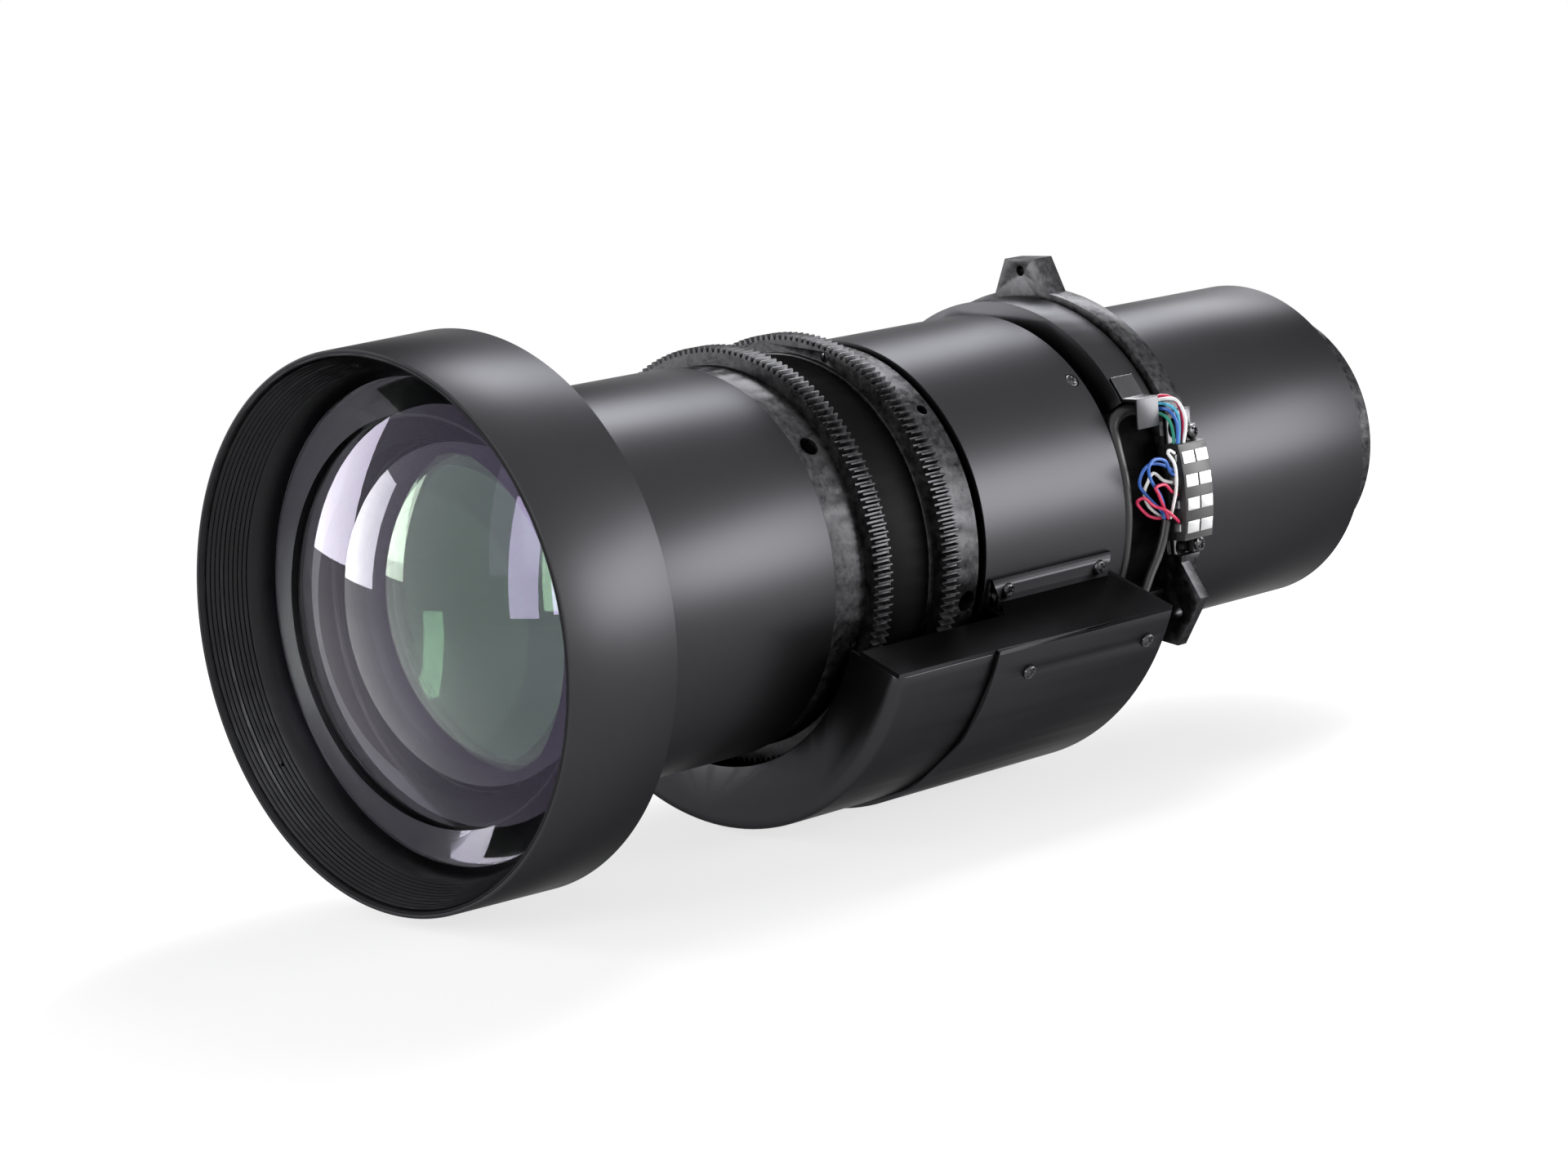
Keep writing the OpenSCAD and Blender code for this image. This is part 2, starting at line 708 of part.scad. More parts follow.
// Cone inside the hood: two sets of fine grooves with a plain black stretch behind them
module hood_baffle() {
    mouth_r = baffle_ro - rim_lip;
    cone_l = y_glass - y_rim;
    slope = (mouth_r - lap_r) / cone_l;
    set_l = cone_l * (groove_set_shares[1] - groove_set_shares[0]);
    profile = [for (s = [0, 1]) for (k = [0 : grooves - 1]) for (e = [0 : 2])
        let (y = cone_l * groove_set_shares[s] + (k + groove_form_shares[e]) * set_l / grooves)
        [y_rim + y, mouth_r - slope * y + (e == 1 ? groove_d : 0)]];
    color("#1d1d1f")
    difference() {
        turned(concat([[y_rim, baffle_ro], [y_rim, mouth_r]], profile, [[y_glass, lap_r], [y_glass, baffle_ro]]));
        thirds(notch_a)
            translate([(mouth_r + lap_r) / 2, 0, 0]) disc(notch_r, y_rim - over, (y_rim + y_glass) / 2);
    }
}

module front_glass() {
    color("#c9cbd8", 0.5)
    difference() {
        lens(glass_r, y_glass, y_glass_back, dome_curve, 0);
        translate([0, y_glass_back - sag(bowl_curve, bowl_r) + bowl_curve, 0]) ball(bowl_curve);
    }
}

module front_cell() {
    color("#222224")
    turned([
        [y_glass, glass_r + fit], [y_glass, baffle_ro], [y_hood_floor, baffle_ro],
        [y_hood_floor, inner_ro + fit], [y_glass_back, inner_ro + fit], [y_glass_back, glass_r + fit]]);
}

module inner_cell() {
    color("#222224")
    difference() {
        disc(inner_ro, y_glass_back + fit, y_inner_end);
        disc(third_r - seat_lip, y_glass_back - over, y_inner_end + over);
        disc(second_r + fit, y_glass_back - over, y_second + second_edge);
        disc(third_r + fit, y_third, y_inner_end + over);
    }
}

module second_glass() {
    color("#c4cfc4", 0.5) lens(second_r, y_second, y_second + second_edge, second_curve, -second_back);
}

module third_glass() {
    color("#c4cfc4", 0.5) lens(third_r, y_third, y_third + third_edge, -third_front, third_curve);
}

module front_barrel() {
    color("#303034") ring(barrel_r, shell_ri, y_hood_end, y_barrel_end);
}

// Tube that slides on the main barrel and carries the front group
module focus_sleeve() {
    color("#3a3a3c")
    difference() {
        ring(slide_ro, slide_ri, y_inner_end, y_seat - sleeve_lead);
        thirds(focus_pin_a) radial(0, y_pin_focus, slide_ri - over)
            cylinder(r = pin_r + fit, h = tube_t + 2 * over, $fn = 32);
    }
}

module focus_pins() {
    pin_in_r = core_ro - pin_in;
    color("#a8a9ad")
    thirds(focus_pin_a) radial(0, y_pin_focus, pin_in_r)
        cylinder(r = pin_r, h = groove_top_r - pin_gap - pin_in_r, $fn = 32);
}

// One gear ring on the lens axis, with a gap between two teeth at angle a
module gear_ring(y, a) {
    turn(a) along(y) rotate([0, 0, 180 / ring_teeth])
        linear_extrude(gear_w) polygon(gear_points(ring_teeth, [root_r, tip_r]));
}

module focus_ring() {
    color("#333336")
    difference() {
        union() {
            gear_ring(y_focus_gear, focus_pinion_a);
            disc(band_r, y_focus_band, y_focus_gear_end);
            disc(band_r + saddle_t, y_focus_gear_end, y_focus_ring_end);
        }
        disc(ring_ri, y_focus_band - over, y_focus_ring_end + over);
        disc(ring_ri + lip_t + run, y_seat - lip_l - run, y_focus_ring_end + over);
        thirds(focus_pin_a)
            cam_slot(0, y_pin_focus, -focus_travel, ring_ri - 2 * over, groove_top_r);
        radial(band_hole_a, y_band_hole, ring_ri - over) cylinder(r = band_hole_r, h = band_t + 2 * over);
        thirds(band_screw_a) radial(0, y_band_screw, band_r - band_screw_set)
            cylinder(r = band_screw_r + fit, h = band_t);
    }
}

// Small slotted screws sunk in the focus band
module focus_band_screws() {
    color("#1a1a1c")
    thirds(band_screw_a) radial(0, y_band_screw, band_r - band_screw_set)
        difference() {
            cylinder(r = band_screw_r, h = band_screw_set * band_head_share, $fn = 32);
            translate([-band_screw_r, -band_screw_r / 6, band_screw_set * slot_floor_share])
                cube([2 * band_screw_r, band_screw_r / 3, band_screw_set]);
        }
}

module zoom_ring() {
    color("#333336")
    difference() {
        union() {
            gear_ring(y_zoom_gear, zoom_pinion_a);
            disc(band_r, y_zoom_ring, y_zoom_band_end);
        }
        disc(slide_ro + fit, y_zoom_ring - over, y_zoom_band_end + over);
        radial(zoom_hole_a, y_zoom_hole, slide_ro - over)
            cylinder(r = zoom_hole_r, h = band_t + 3 * over);
        radial(zoom_port_a, y_zoom_hole, slide_ro - over)
            cylinder(r = zoom_port_r, h = band_t + 3 * over);
        thirds(zoom_screw_a) translate([(band_r + root_r) / 2, 0, 0]) {
            disc(small_head_r + screw_gap, y_zoom_gear - over, y_zoom_gear + small_head_h);
            disc(small_shank_r + screw_gap, y_zoom_gear, y_zoom_gear + small_screw_l + screw_gap);
        }
    }
}

// Small screws sunk in the front face of the zoom gear
module zoom_ring_screws() {
    color("#8d8e93")
    thirds(zoom_screw_a) translate([(band_r + root_r) / 2, 0, 0]) {
        difference() {
            disc(small_head_r, y_zoom_gear + fit, y_zoom_gear + small_head_h);
            translate([-small_head_r, y_zoom_gear - over, -small_head_r / 6])
                cube([2 * small_head_r, over + small_head_h / 2, small_head_r / 3]);
        }
        disc(small_shank_r, y_zoom_gear + small_head_h, y_zoom_gear + small_screw_l);
    }
}

module cam_tube() {
    color("#77787c")
    difference() {
        ring(slide_ro, slide_ri, y_zoom_ring, y_cam_end);
        thirds(cam_a) {
            cam_slot(0, y_pin_a, -zoom_a_travel, slide_ri - 2 * over, slide_ro + over);
            cam_slot(0, y_pin_b, zoom_b_travel, slide_ri - 2 * over, slide_ro + over);
        }
    }
}

module main_barrel() {
    color("#5a5b5f")
    difference() {
        ring(core_ro, core_ri, y_core, y_carrier);
        thirds(cam_a) {
            key_slot(y_pin_a, y_pin_a - zoom_a_travel, core_ri - over, core_ro + over);
            key_slot(y_pin_b, y_pin_b + zoom_b_travel, core_ri - over, core_ro + over);
        }
        thirds(focus_pin_a)
            key_slot(y_pin_focus, y_pin_focus - focus_travel, core_ro - pin_in - pin_gap, core_ro + over);
    }
}

// Fixed ring between the two gear rings, with a lip that the focus ring turns on
module gear_seat() {
    color("#141416")
    difference() {
        union() {
            disc(seat_r, y_seat, y_seat_end);
            disc(ring_ri + lip_t, y_seat - lip_l, y_seat_end);
        }
        disc(core_ro + fit, y_seat - over, y_seat_end + over);
        disc(ring_ri, y_seat - lip_l - over, y_seat);
    }
}

// Bent plate on the gear seat that carries both motors
module motor_saddle() {
    wall_r = seat_r + fit;
    plate_root_r = wall_r + saddle_t / 2;
    plate_half_w = motor_r + plate_out;
    plate_r = motor_c + motor_r + plate_out;
    color("#2a2a2c")
    difference() {
        union() {
            sector(wall_r + saddle_t, wall_r, y_plate_a, y_seat_end, -90 - saddle_half_a, -90 + saddle_half_a);
            for (p = [[focus_pinion_a, y_plate_a], [zoom_pinion_a, y_plate_b]])
                turn(p[0]) translate([plate_root_r, p[1], -plate_half_w])
                    cube([plate_r - plate_root_r, plate_t, 2 * plate_half_w]);
        }
        for (a = [focus_pinion_a, zoom_pinion_a])
            turn(a) translate([pinion_c, 0, 0])
                disc(shaft_r + shaft_hole_gap, y_plate_a - over, y_seat_end + over);
    }
}

// Gearbox and can of one motor. The gearbox face is at y and the can lies toward side s.
module geared_motor(a, y, s) {
    y_box = y + s * gearbox_l;
    y_can = y_box + s * can_l;
    turn(a)
    difference() {
        union() {
            translate([motor_c, 0, 0]) disc(motor_r, min(y, y_box), max(y, y_box));
            translate([motor_c, 0, 0]) disc(motor_r * can_share, min(y_box, y_can), max(y_box, y_can));
        }
        translate([pinion_c, 0, 0])
            disc(shaft_r + bearing_gap, min(y - s * over, y + s * shaft_bore_l), max(y - s * over, y + s * shaft_bore_l));
    }
}

module focus_motor() {
    color("#9a9ba0") geared_motor(focus_pinion_a, y_plate_a + plate_t, 1);
}

module zoom_motor() {
    color("#9a9ba0") geared_motor(zoom_pinion_a, y_plate_b, -1);
}

// Pinion whose teeth span a gear ring at station y. Its shaft ends at y_shaft.
module pinion(a, y, y_shaft) {
    y0 = y - pinion_over;
    y1 = y + gear_w + pinion_over;
    base_r = pinion_pitch_r * cos(pressure);
    turn(a) translate([pinion_c, 0, 0]) {
        along(y0) rotate([0, 0, 180 / pinion_teeth]) linear_extrude(y1 - y0)
            polygon(gear_points(pinion_teeth,
                [pinion_root_r, base_r, pinion_pitch_r, (pinion_pitch_r + pinion_tip_r) / 2, pinion_tip_r]));
        disc(shaft_r, min(y0, y_shaft), max(y1, y_shaft));
    }
}

module focus_pinion() {
    color("#c2a25a") pinion(focus_pinion_a, y_focus_gear, y_plate_a + plate_t + shaft_in);
}

module zoom_pinion() {
    color("#c2a25a") pinion(zoom_pinion_a, y_zoom_gear, y_plate_b - shaft_in);
}

// Two small end switches on the saddle, each with a spring lever
module limit_switches() {
    base_r = seat_r + 2 * fit + saddle_t;
    y_mid = (y_plate_a + plate_t + y_plate_b) / 2;
    color("#202022")
    for (s = [-1, 1]) turn(-90 + s * switch_a) {
        translate([base_r, y_mid - switch_l / 2, -switch_w / 2]) cube([switch_t - lever_t, switch_l, switch_w]);
        translate([base_r + switch_t - lever_t, y_mid - switch_l / 2, -switch_w / 4])
            cube([lever_t, switch_l, switch_w / 2]);
    }
}

// Cell of a zoom group: a tube with a pocket for its glass
module zoom_cell(y, l) {
    color("#4a4b4f")
    difference() {
        ring(cell_ro, zoom_glass_r - seat_lip, y, y + l);
        disc(zoom_glass_r + fit, y - over, y + (l + zoom_glass_edge) / 2);
        thirds(cam_a) radial(0, y + l / 2, zoom_pin_in_r) cylinder(r = pin_r + fit, h = cell_ro, $fn = 32);
    }
}

module zoom_glass(y, l, front, back) {
    color("#c4cfc4", 0.5)
    lens(zoom_glass_r, y + (l - zoom_glass_edge) / 2, y + (l + zoom_glass_edge) / 2, front, back);
}

module zoom_pins(y) {
    color("#a8a9ad")
    thirds(cam_a) radial(0, y, zoom_pin_in_r)
        cylinder(r = pin_r, h = slide_ro - pin_gap - zoom_pin_in_r, $fn = 32);
}

module zoom_cell_a() { zoom_cell(y_cell_a, cell_a_l); }
module zoom_glass_a() { zoom_glass(y_cell_a, cell_a_l, zoom_a_curve, -zoom_a_curve); }
module zoom_pins_a() { zoom_pins(y_pin_a); }
module zoom_cell_b() { zoom_cell(y_cell_b, cell_b_l); }
module zoom_glass_b() { zoom_glass(y_cell_b, cell_b_l, zoom_b_curve, -zoom_b_curve); }
module zoom_pins_b() { zoom_pins(y_pin_b); }

module iris_ring() {
    y_iris = (y_sleeve_end + y_collar) / 2;
    color("#101012") ring(core_ri - fit, iris_bore_r, y_iris, y_iris + iris_t);
}

// Ring that joins the barrels, the sleeve, the collar and the flange
module rear_carrier() {
    color("#161618")
    difference() {
        union() {
            disc(carrier_ro, y_carrier, y_flange);
            disc(shell_ri - fit, y_sleeve_end - carrier_lip_l, y_sleeve_end);
        }
        disc(core_ri, y_sleeve_end - carrier_lip_l - over, y_flange + over);
        disc(carrier_ro, y_sleeve_end - carrier_lip_l - over, y_carrier);
        thirds(sleeve_screw_a) radial(0, y_sleeve_screw, sleeve_r - sleeve_screw_set) screw_hole(sleeve_screw_l);
    }
}

module middle_sleeve() {
    color("#303034")
    difference() {
        ring(sleeve_r, shell_ri, y_sleeve, y_sleeve_end);
        thirds(sleeve_screw_a) radial(0, y_sleeve_screw, sleeve_r - sleeve_screw_set) {
            screw_hole(sleeve_screw_l);
            cylinder(r = head_r + screw_gap, h = head_h);
        }
        for (side = [0, 1]) mirror([side, 0, 0]) flap_screw_places() screw_hole(flap_screw_l);
    }
}

module sleeve_screws() {
    color("#1c1c1e")
    thirds(sleeve_screw_a) radial(0, y_sleeve_screw, sleeve_r - sleeve_screw_set) screw(sleeve_screw_l);
}

// Collar with a window for the cables between two angles
module rear_collar() {
    color("#2c2c2f")
    difference() {
        turned([
            [y_collar, carrier_ro + fit], [y_collar, collar_r], [y_flange - collar_chamfer, collar_r],
            [y_flange, collar_r - collar_chamfer], [y_flange, carrier_ro + fit]]);
        sector(collar_r + over, carrier_ro, y_collar - over, y_flange + over, window_low_a, window_top_a);
        thirds(flange_screw_a) translate([flange_screw_c, 0, 0])
            disc(shank_r + screw_gap, y_flange - flange_screw_in - screw_gap, y_flange + over);
    }
}

// Tab that stands out of the flange at angle a, with its front on the flange's front face
module tab(a, root_half, top_half, t, hole_c) {
    turn(a) along(y_flange) difference() {
        linear_extrude(t) polygon([
            [tab_root_c, -root_half], [tab_r, -top_half], [tab_r, top_half], [tab_root_c, root_half]]);
        translate([hole_c, 0, -over]) cylinder(r = tab_hole_r, h = t + 2 * over);
    }
}

module mount_flange() {
    color("#2c2c2f")
    difference() {
        union() {
            difference() {
                disc(flange_r, y_flange, 0);
                translate([flat_x, y_flange - over, flat_low_z])
                    cube([flange_r, flange_t + 2 * over, flange_r - flat_low_z]);
            }
            tab(90, tab_root_half, tab_top_half, flange_t, tab_hole_pcr);
            for (a = [-low_tab_a, 180 + low_tab_a]) tab(a, low_root_half, low_top_half, low_tab_t, low_hole_pcr);
        }
        disc(spigot_r + fit, y_flange - over, over);
        disc(rear_r + fit, -shoulder_in - fit, over);
        for (z = [upper_hole_z, lower_hole_z]) translate([flat_x - pocket_d, y_bracket_hole, z])
            rotate([0, 90, 0]) cylinder(r = bracket_hole_r, h = pocket_d + over);
        for (z = [upper_ear_z, lower_ear_z])
            translate([block_x + ear_t, y_block_screw, z]) rotate([0, 90, 0]) screw_hole(block_screw_l);
        thirds(flange_screw_a) translate([flange_screw_c, 0, 0]) {
            disc(shank_r + screw_gap, y_flange - over, over);
            disc(head_r + screw_gap, -head_h - flange_screw_set, over);
        }
    }
}

module flange_screws() {
    color("#8d8e93")
    thirds(flange_screw_a) translate([flange_screw_c, 0, 0]) along(-head_h - flange_screw_set)
        screw(flange_t - head_h - flange_screw_set + flange_screw_in);
}

module rear_barrel() {
    color("#303034")
    difference() {
        union() {
            disc(rear_r, -shoulder_in, rear_l);
            disc(spigot_r, y_flange, over);
        }
        disc(rear_ri, y_flange - over, rear_l + over);
    }
}

module relay_cell() {
    color("#1c1c1e")
    difference() {
        ring(rear_ri - fit, rear_ri - relay_wall, y_relay, y_relay + relay_l);
        disc(rear_ri - relay_wall + seat_lip, y_relay - over, y_relay + relay_l / 2);
    }
}

module relay_glass() {
    color("#c4cfc4", 0.5)
    lens(rear_ri - relay_wall + seat_lip - fit, y_relay + relay_l / 2 - relay_edge, y_relay + relay_l / 2,
        relay_curve, -relay_back);
}

module tail_ring() {
    bore = tail_r - tail_wall;
    color("#2e2e31")
    difference() {
        union() {
            disc(rear_ri - fit, rear_l - tail_flange_l, rear_l);
            disc(tail_r, rear_l - tail_flange_l, rear_l + tail_l);
        }
        disc(bore - seat_lip, rear_l - tail_flange_l - over, rear_l + tail_l + over);
        disc(bore, rear_l + tail_l - rear_glass_inset - rear_edge, rear_l + tail_l + over);
    }
}

module rear_glass() {
    y1 = rear_l + tail_l - rear_glass_inset;
    color("#c4cfc4", 0.5) lens(tail_r - tail_wall - fit, y1 - rear_edge, y1, -rear_hollow_curve, rear_bulge_curve);
}

// Front shell of the lower cover, with a bend round its front wall
module cover_front() {
    bend = [for (k = [0 : bend_steps]) let (a = 90 * k / bend_steps)
        [cover_ro - cover_bend + cover_bend * cos(a), y_cover + cover_bend - cover_bend * sin(a)]];
    inner_bend = max(cover_bend - sheet, fit);
    inside = [for (k = [bend_steps : -1 : 0]) let (a = 90 * k / bend_steps)
        [cover_ri - inner_bend + inner_bend * cos(a), y_cover + sheet + inner_bend - inner_bend * sin(a)]];
    color("#26262a")
    along(0) rotate([0, 0, shelf_a]) rotate_extrude(angle = 180 - 2 * shelf_a)
        polygon(concat([[cover_ro, y_front_end]], bend,
            [[cover_arc_r, y_cover], [cover_arc_r, y_cover + sheet]], inside, [[cover_ri, y_front_end]]));
}

module cover_rear() {
    color("#26262a")
    difference() {
        union() {
            sector(cover_rear_ro, cover_rear_ri, y_cover_step, y_cover_end, shelf_a - 180, -shelf_a);
            sector(cover_rear_ro, sleeve_r + wall_gap, y_cover_end - sheet, y_cover_end, shelf_a - 180, -shelf_a);
        }
        turn(cable_hole_a) translate([cable_hole_c, 0, 0])
            disc(cable_hole_r, y_cover_end - sheet - over, y_cover_end + over);
        turn(thin_hole_a) translate([cable_hole_c, 0, 0])
            disc(thin_hole_r, y_cover_end - sheet - over, y_cover_end + over);
        for (side = [0, 1]) mirror([side, 0, 0]) skirt_screw_places() screw_hole(skirt_screw_l);
    }
}

// Where the bracket is screwed to the middle sleeve
module flap_screw_places() {
    for (y = [y_flap + flap_screw_in, y_flap_end - flap_screw_back])
        radial(flap_screw_a - shelf_a, y, sleeve_r + fit + sheet) children();
}

// Where the rear cover is screwed to the bracket's skirt
module skirt_screw_places() {
    for (y = [y_cover_step + skirt_screw_in, y_cover_end - skirt_screw_back])
        radial(-shelf_a - skirt_screw_a, y, cover_rear_ro) children();
}

// Bent bracket: a shelf that closes the cover, a flap on the sleeve and a skirt inside the cover
module cover_bracket() {
    flap_in = sleeve_r + fit;
    color("#2b2b2f")
    difference() {
        union() {
            turn(-shelf_a) {
                translate([flap_in, y_flap, 0]) cube([cover_rear_ro - flap_in, y_cover_end - y_flap, sheet]);
                translate([shelf_in_r, y_cover_step, 0])
                    cube([cover_rear_ro - shelf_in_r, y_flap - y_cover_step + over, sheet]);
                translate([shelf_in_r, y_cover, 0]) cube([cover_ro - shelf_in_r, cover_front_l + over, sheet]);
            }
            sector(flap_in + sheet, flap_in, y_flap, y_flap_end, -shelf_a, flap_a - shelf_a);
            sector(cover_ro, cover_ri, y_front_end + skirt_edge_gap, y_cover_end - sheet - skirt_edge_gap,
                -shelf_a - skirt_a, -shelf_a);
        }
        flap_screw_places() screw_hole(flap_screw_l);
        skirt_screw_places() screw_hole(skirt_screw_l);
        radial(flap_a - shelf_a, y_flap, flap_in - over) corner_cut(flap_corner_r);
    }
}

// Cutter that rounds one corner of the flap. Local X runs down the flap and Y runs back along it.
module corner_cut(r) {
    difference() {
        translate([-r, -r, 0]) cube([2 * r, 2 * r, sheet + 2 * over]);
        translate([r, r, -over]) cylinder(r = r, h = sheet + 4 * over);
        translate([r, -2 * r, -over]) cube([2 * r, 5 * r, sheet + 4 * over]);
        translate([-2 * r, r, -over]) cube([5 * r, 2 * r, sheet + 4 * over]);
    }
}

module cover_bracket_right() { cover_bracket(); }
module cover_bracket_left() { mirror([1, 0, 0]) cover_bracket(); }

module bracket_screws() {
    color("#3c3c40")
    for (side = [0, 1]) mirror([side, 0, 0]) flap_screw_places() screw(flap_screw_l);
}

module cover_screws() {
    color("#3c3c40")
    for (side = [0, 1]) mirror([side, 0, 0]) skirt_screw_places() screw(skirt_screw_l);
}

// Light plate on the flange's flat, with two round holes
module terminal_bracket() {
    color("#8e9095")
    difference() {
        translate([flat_x + fit, bracket_front, bracket_low_z])
            cube([bracket_t - fit, bracket_back - bracket_front, bracket_top_z - bracket_low_z]);
        for (z = [upper_hole_z, lower_hole_z]) translate([flat_x - over, y_bracket_hole, z])
            rotate([0, 90, 0]) cylinder(r = bracket_hole_r, h = bracket_t + 2 * over);
        for (z = [upper_ear_z, lower_ear_z])
            translate([block_x + ear_t, y_block_screw, z]) rotate([0, 90, 0]) screw_hole(block_screw_l);
    }
}

module contact_block() {
    z0 = block_z - block_h / 2;
    base_x = block_x + fit;
    color("#232326")
    difference() {
        union() {
            intersection() {
                disc(contact_r - pad_t, y_block, y_block_end);
                translate([base_x, y_block, z0]) cube([contact_r, block_l, block_h]);
            }
            translate([base_x, y_block_end - ear_l, z0 - ear_h]) cube([ear_t - fit, ear_l, block_h + 2 * ear_h]);
        }
        for (z = [upper_ear_z, lower_ear_z])
            translate([block_x + ear_t, y_block_screw, z]) rotate([0, 90, 0]) screw_hole(block_screw_l);
    }
}

module contacts() {
    half_a = pad_h / contact_r * 90 / PI;
    margin = (block_l - 2 * pad_w - column_gap) / 2;
    mid_a = asin(block_z / contact_r);
    color("#d9dadd")
    for (row = [0 : 3]) for (column = [0, 1])
        let (a = mid_a + (row - 1.5) * row_pitch, y = y_block + margin + column * (pad_w + column_gap))
        sector(contact_r, contact_r - pad_t, y, y + pad_w, a - half_a, a + half_a);
}

// Four solder tags on the front face of the block
module solder_tags() {
    mid_a = asin(block_z / contact_r);
    color("#b9b9bd")
    for (row = [0 : 3])
        translate([block_x + tag_in, y_block - tag_t, contact_r * sin(mid_a + (row - 1.5) * row_pitch) - tag_w / 2])
            cube([tag_h, tag_t, tag_w]);
}

module block_screws() {
    color("#c8c9cc")
    for (z = [upper_ear_z, lower_ear_z])
        translate([block_x + ear_t, y_block_screw, z]) rotate([0, 90, 0]) screw(block_screw_l);
}

// Bent clip on the collar that holds the end of the motor cable
module cable_clip() {
    foot_r = collar_r + fit;
    out = [cos(clip_foot_a), sin(clip_foot_a)];
    up = [-sin(clip_foot_a), cos(clip_foot_a)];
    heel = foot_r * out - clip_foot_l / 2 * up;
    toe = heel + clip_foot_l * up;
    bend = heel + clip_t * out + clip_t * (1 - out[1]) / up[1] * up;
    clip_xo = clip_x + clip_t;
    color("#6e7075")
    translate([0, y_collar + clip_set, 0]) rotate([90, 0, 0]) mirror([0, 0, 1]) linear_extrude(clip_l)
        polygon([heel, [clip_x, heel[1]], [clip_x, heel[1] - clip_drop], [clip_xo, heel[1] - clip_drop],
            [clip_xo, heel[1] + clip_t], bend, toe + clip_t * out, toe]);
}

module motor_cable() {
    color("#1b1b1d") swept(motor_cable_path, cable_r);
}

module switch_cable() {
    color("#1b1b1d") swept(switch_cable_path, thin_cable_r);
}

module wires_blue() {
    color("#2457b8") for (p = blue_paths) swept(p, wire_r);
}

module wires_red() {
    color("#b3243f") for (p = red_paths) swept(p, wire_r);
}

module wires_white() {
    color("#e8e6e2") for (p = white_paths) swept(p, wire_r);
}

module wire_green() {
    color("#1f7a5c") swept(green_path, wire_r);
}

module wire_light_blue() {
    color("#5fb4d6") swept(light_blue_path, wire_r);
}

hood();
hood_baffle();
front_glass();
front_cell();
inner_cell();
second_glass();
third_glass();
front_barrel();
focus_sleeve();
focus_pins();
focus_ring();
focus_band_screws();
zoom_ring();
zoom_ring_screws();
cam_tube();
main_barrel();
gear_seat();
motor_saddle();
focus_motor();
zoom_motor();
focus_pinion();
zoom_pinion();
limit_switches();
zoom_cell_a();
zoom_glass_a();
zoom_pins_a();
zoom_cell_b();
zoom_glass_b();
zoom_pins_b();
iris_ring();
rear_carrier();
middle_sleeve();
sleeve_screws();
rear_collar();
mount_flange();
flange_screws();
rear_barrel();
relay_cell();
relay_glass();
tail_ring();
rear_glass();
cover_front();
cover_rear();
cover_bracket_right();
cover_bracket_left();
bracket_screws();
cover_screws();
terminal_bracket();
contact_block();
contacts();
solder_tags();
block_screws();
cable_clip();
motor_cable();
switch_cable();
wires_blue();
wires_red();
wires_white();
wire_green();
wire_light_blue();
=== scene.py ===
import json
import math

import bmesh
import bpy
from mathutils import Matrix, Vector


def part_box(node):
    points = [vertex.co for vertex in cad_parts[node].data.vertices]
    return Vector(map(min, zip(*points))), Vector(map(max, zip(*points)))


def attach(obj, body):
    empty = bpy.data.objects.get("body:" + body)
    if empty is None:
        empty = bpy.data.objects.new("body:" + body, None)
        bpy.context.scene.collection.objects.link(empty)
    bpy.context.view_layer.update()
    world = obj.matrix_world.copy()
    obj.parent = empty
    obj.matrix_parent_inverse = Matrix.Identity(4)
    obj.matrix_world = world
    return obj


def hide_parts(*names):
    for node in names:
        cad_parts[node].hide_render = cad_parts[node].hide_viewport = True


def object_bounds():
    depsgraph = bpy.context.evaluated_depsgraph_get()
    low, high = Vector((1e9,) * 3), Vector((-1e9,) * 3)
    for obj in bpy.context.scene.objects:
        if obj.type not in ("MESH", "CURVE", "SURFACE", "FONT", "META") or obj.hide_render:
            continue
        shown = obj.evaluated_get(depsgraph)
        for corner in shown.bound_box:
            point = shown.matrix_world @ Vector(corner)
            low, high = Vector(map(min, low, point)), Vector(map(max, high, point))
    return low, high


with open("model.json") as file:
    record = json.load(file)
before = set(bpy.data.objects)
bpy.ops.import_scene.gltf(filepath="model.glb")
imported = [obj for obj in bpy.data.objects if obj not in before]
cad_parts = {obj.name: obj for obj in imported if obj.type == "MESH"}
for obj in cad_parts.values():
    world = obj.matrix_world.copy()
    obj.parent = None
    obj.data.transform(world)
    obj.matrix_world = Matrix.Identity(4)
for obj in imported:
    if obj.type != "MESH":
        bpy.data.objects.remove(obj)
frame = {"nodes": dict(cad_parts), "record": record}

# %% [markdown]
# # A motorised projection lens, dressed in Blender
# The solids come from the part's CAD source, already in their places and in metres. The lens
# axis runs along Y with the hood toward -Y, Z is up, and the origin is where the flange seats
# on the projector. This notebook adds the camera, the light, the finishes and the small pieces
# that a solid model leaves plain: softened edges, clear glass, screw heads, cables and wires.

MM = 0.001
nodes = frame["nodes"]
cad_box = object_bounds()
body_of = {n: b for b, members in frame["record"]["behaviour"]["bodies"].items() for n in members}


def link(obj):
    """Puts a new object into the scene."""
    bpy.context.scene.collection.objects.link(obj)
    return obj


print("CAD nodes:", len(nodes), "size in mm:", [round((b - a) / MM, 1) for a, b in zip(*cad_box)])

# %% [markdown]
# ## Camera
# A product photograph of a long object is taken from far off with a long lens, so that the
# near hood isn't blown up. The view angle here is narrow, about 100 mm on a 36 mm wide sensor.
# The view is given as an angle round the lens and an angle above it, and the camera's place as
# a point in millimetres. The roll leans the frame a little, as in the picture.

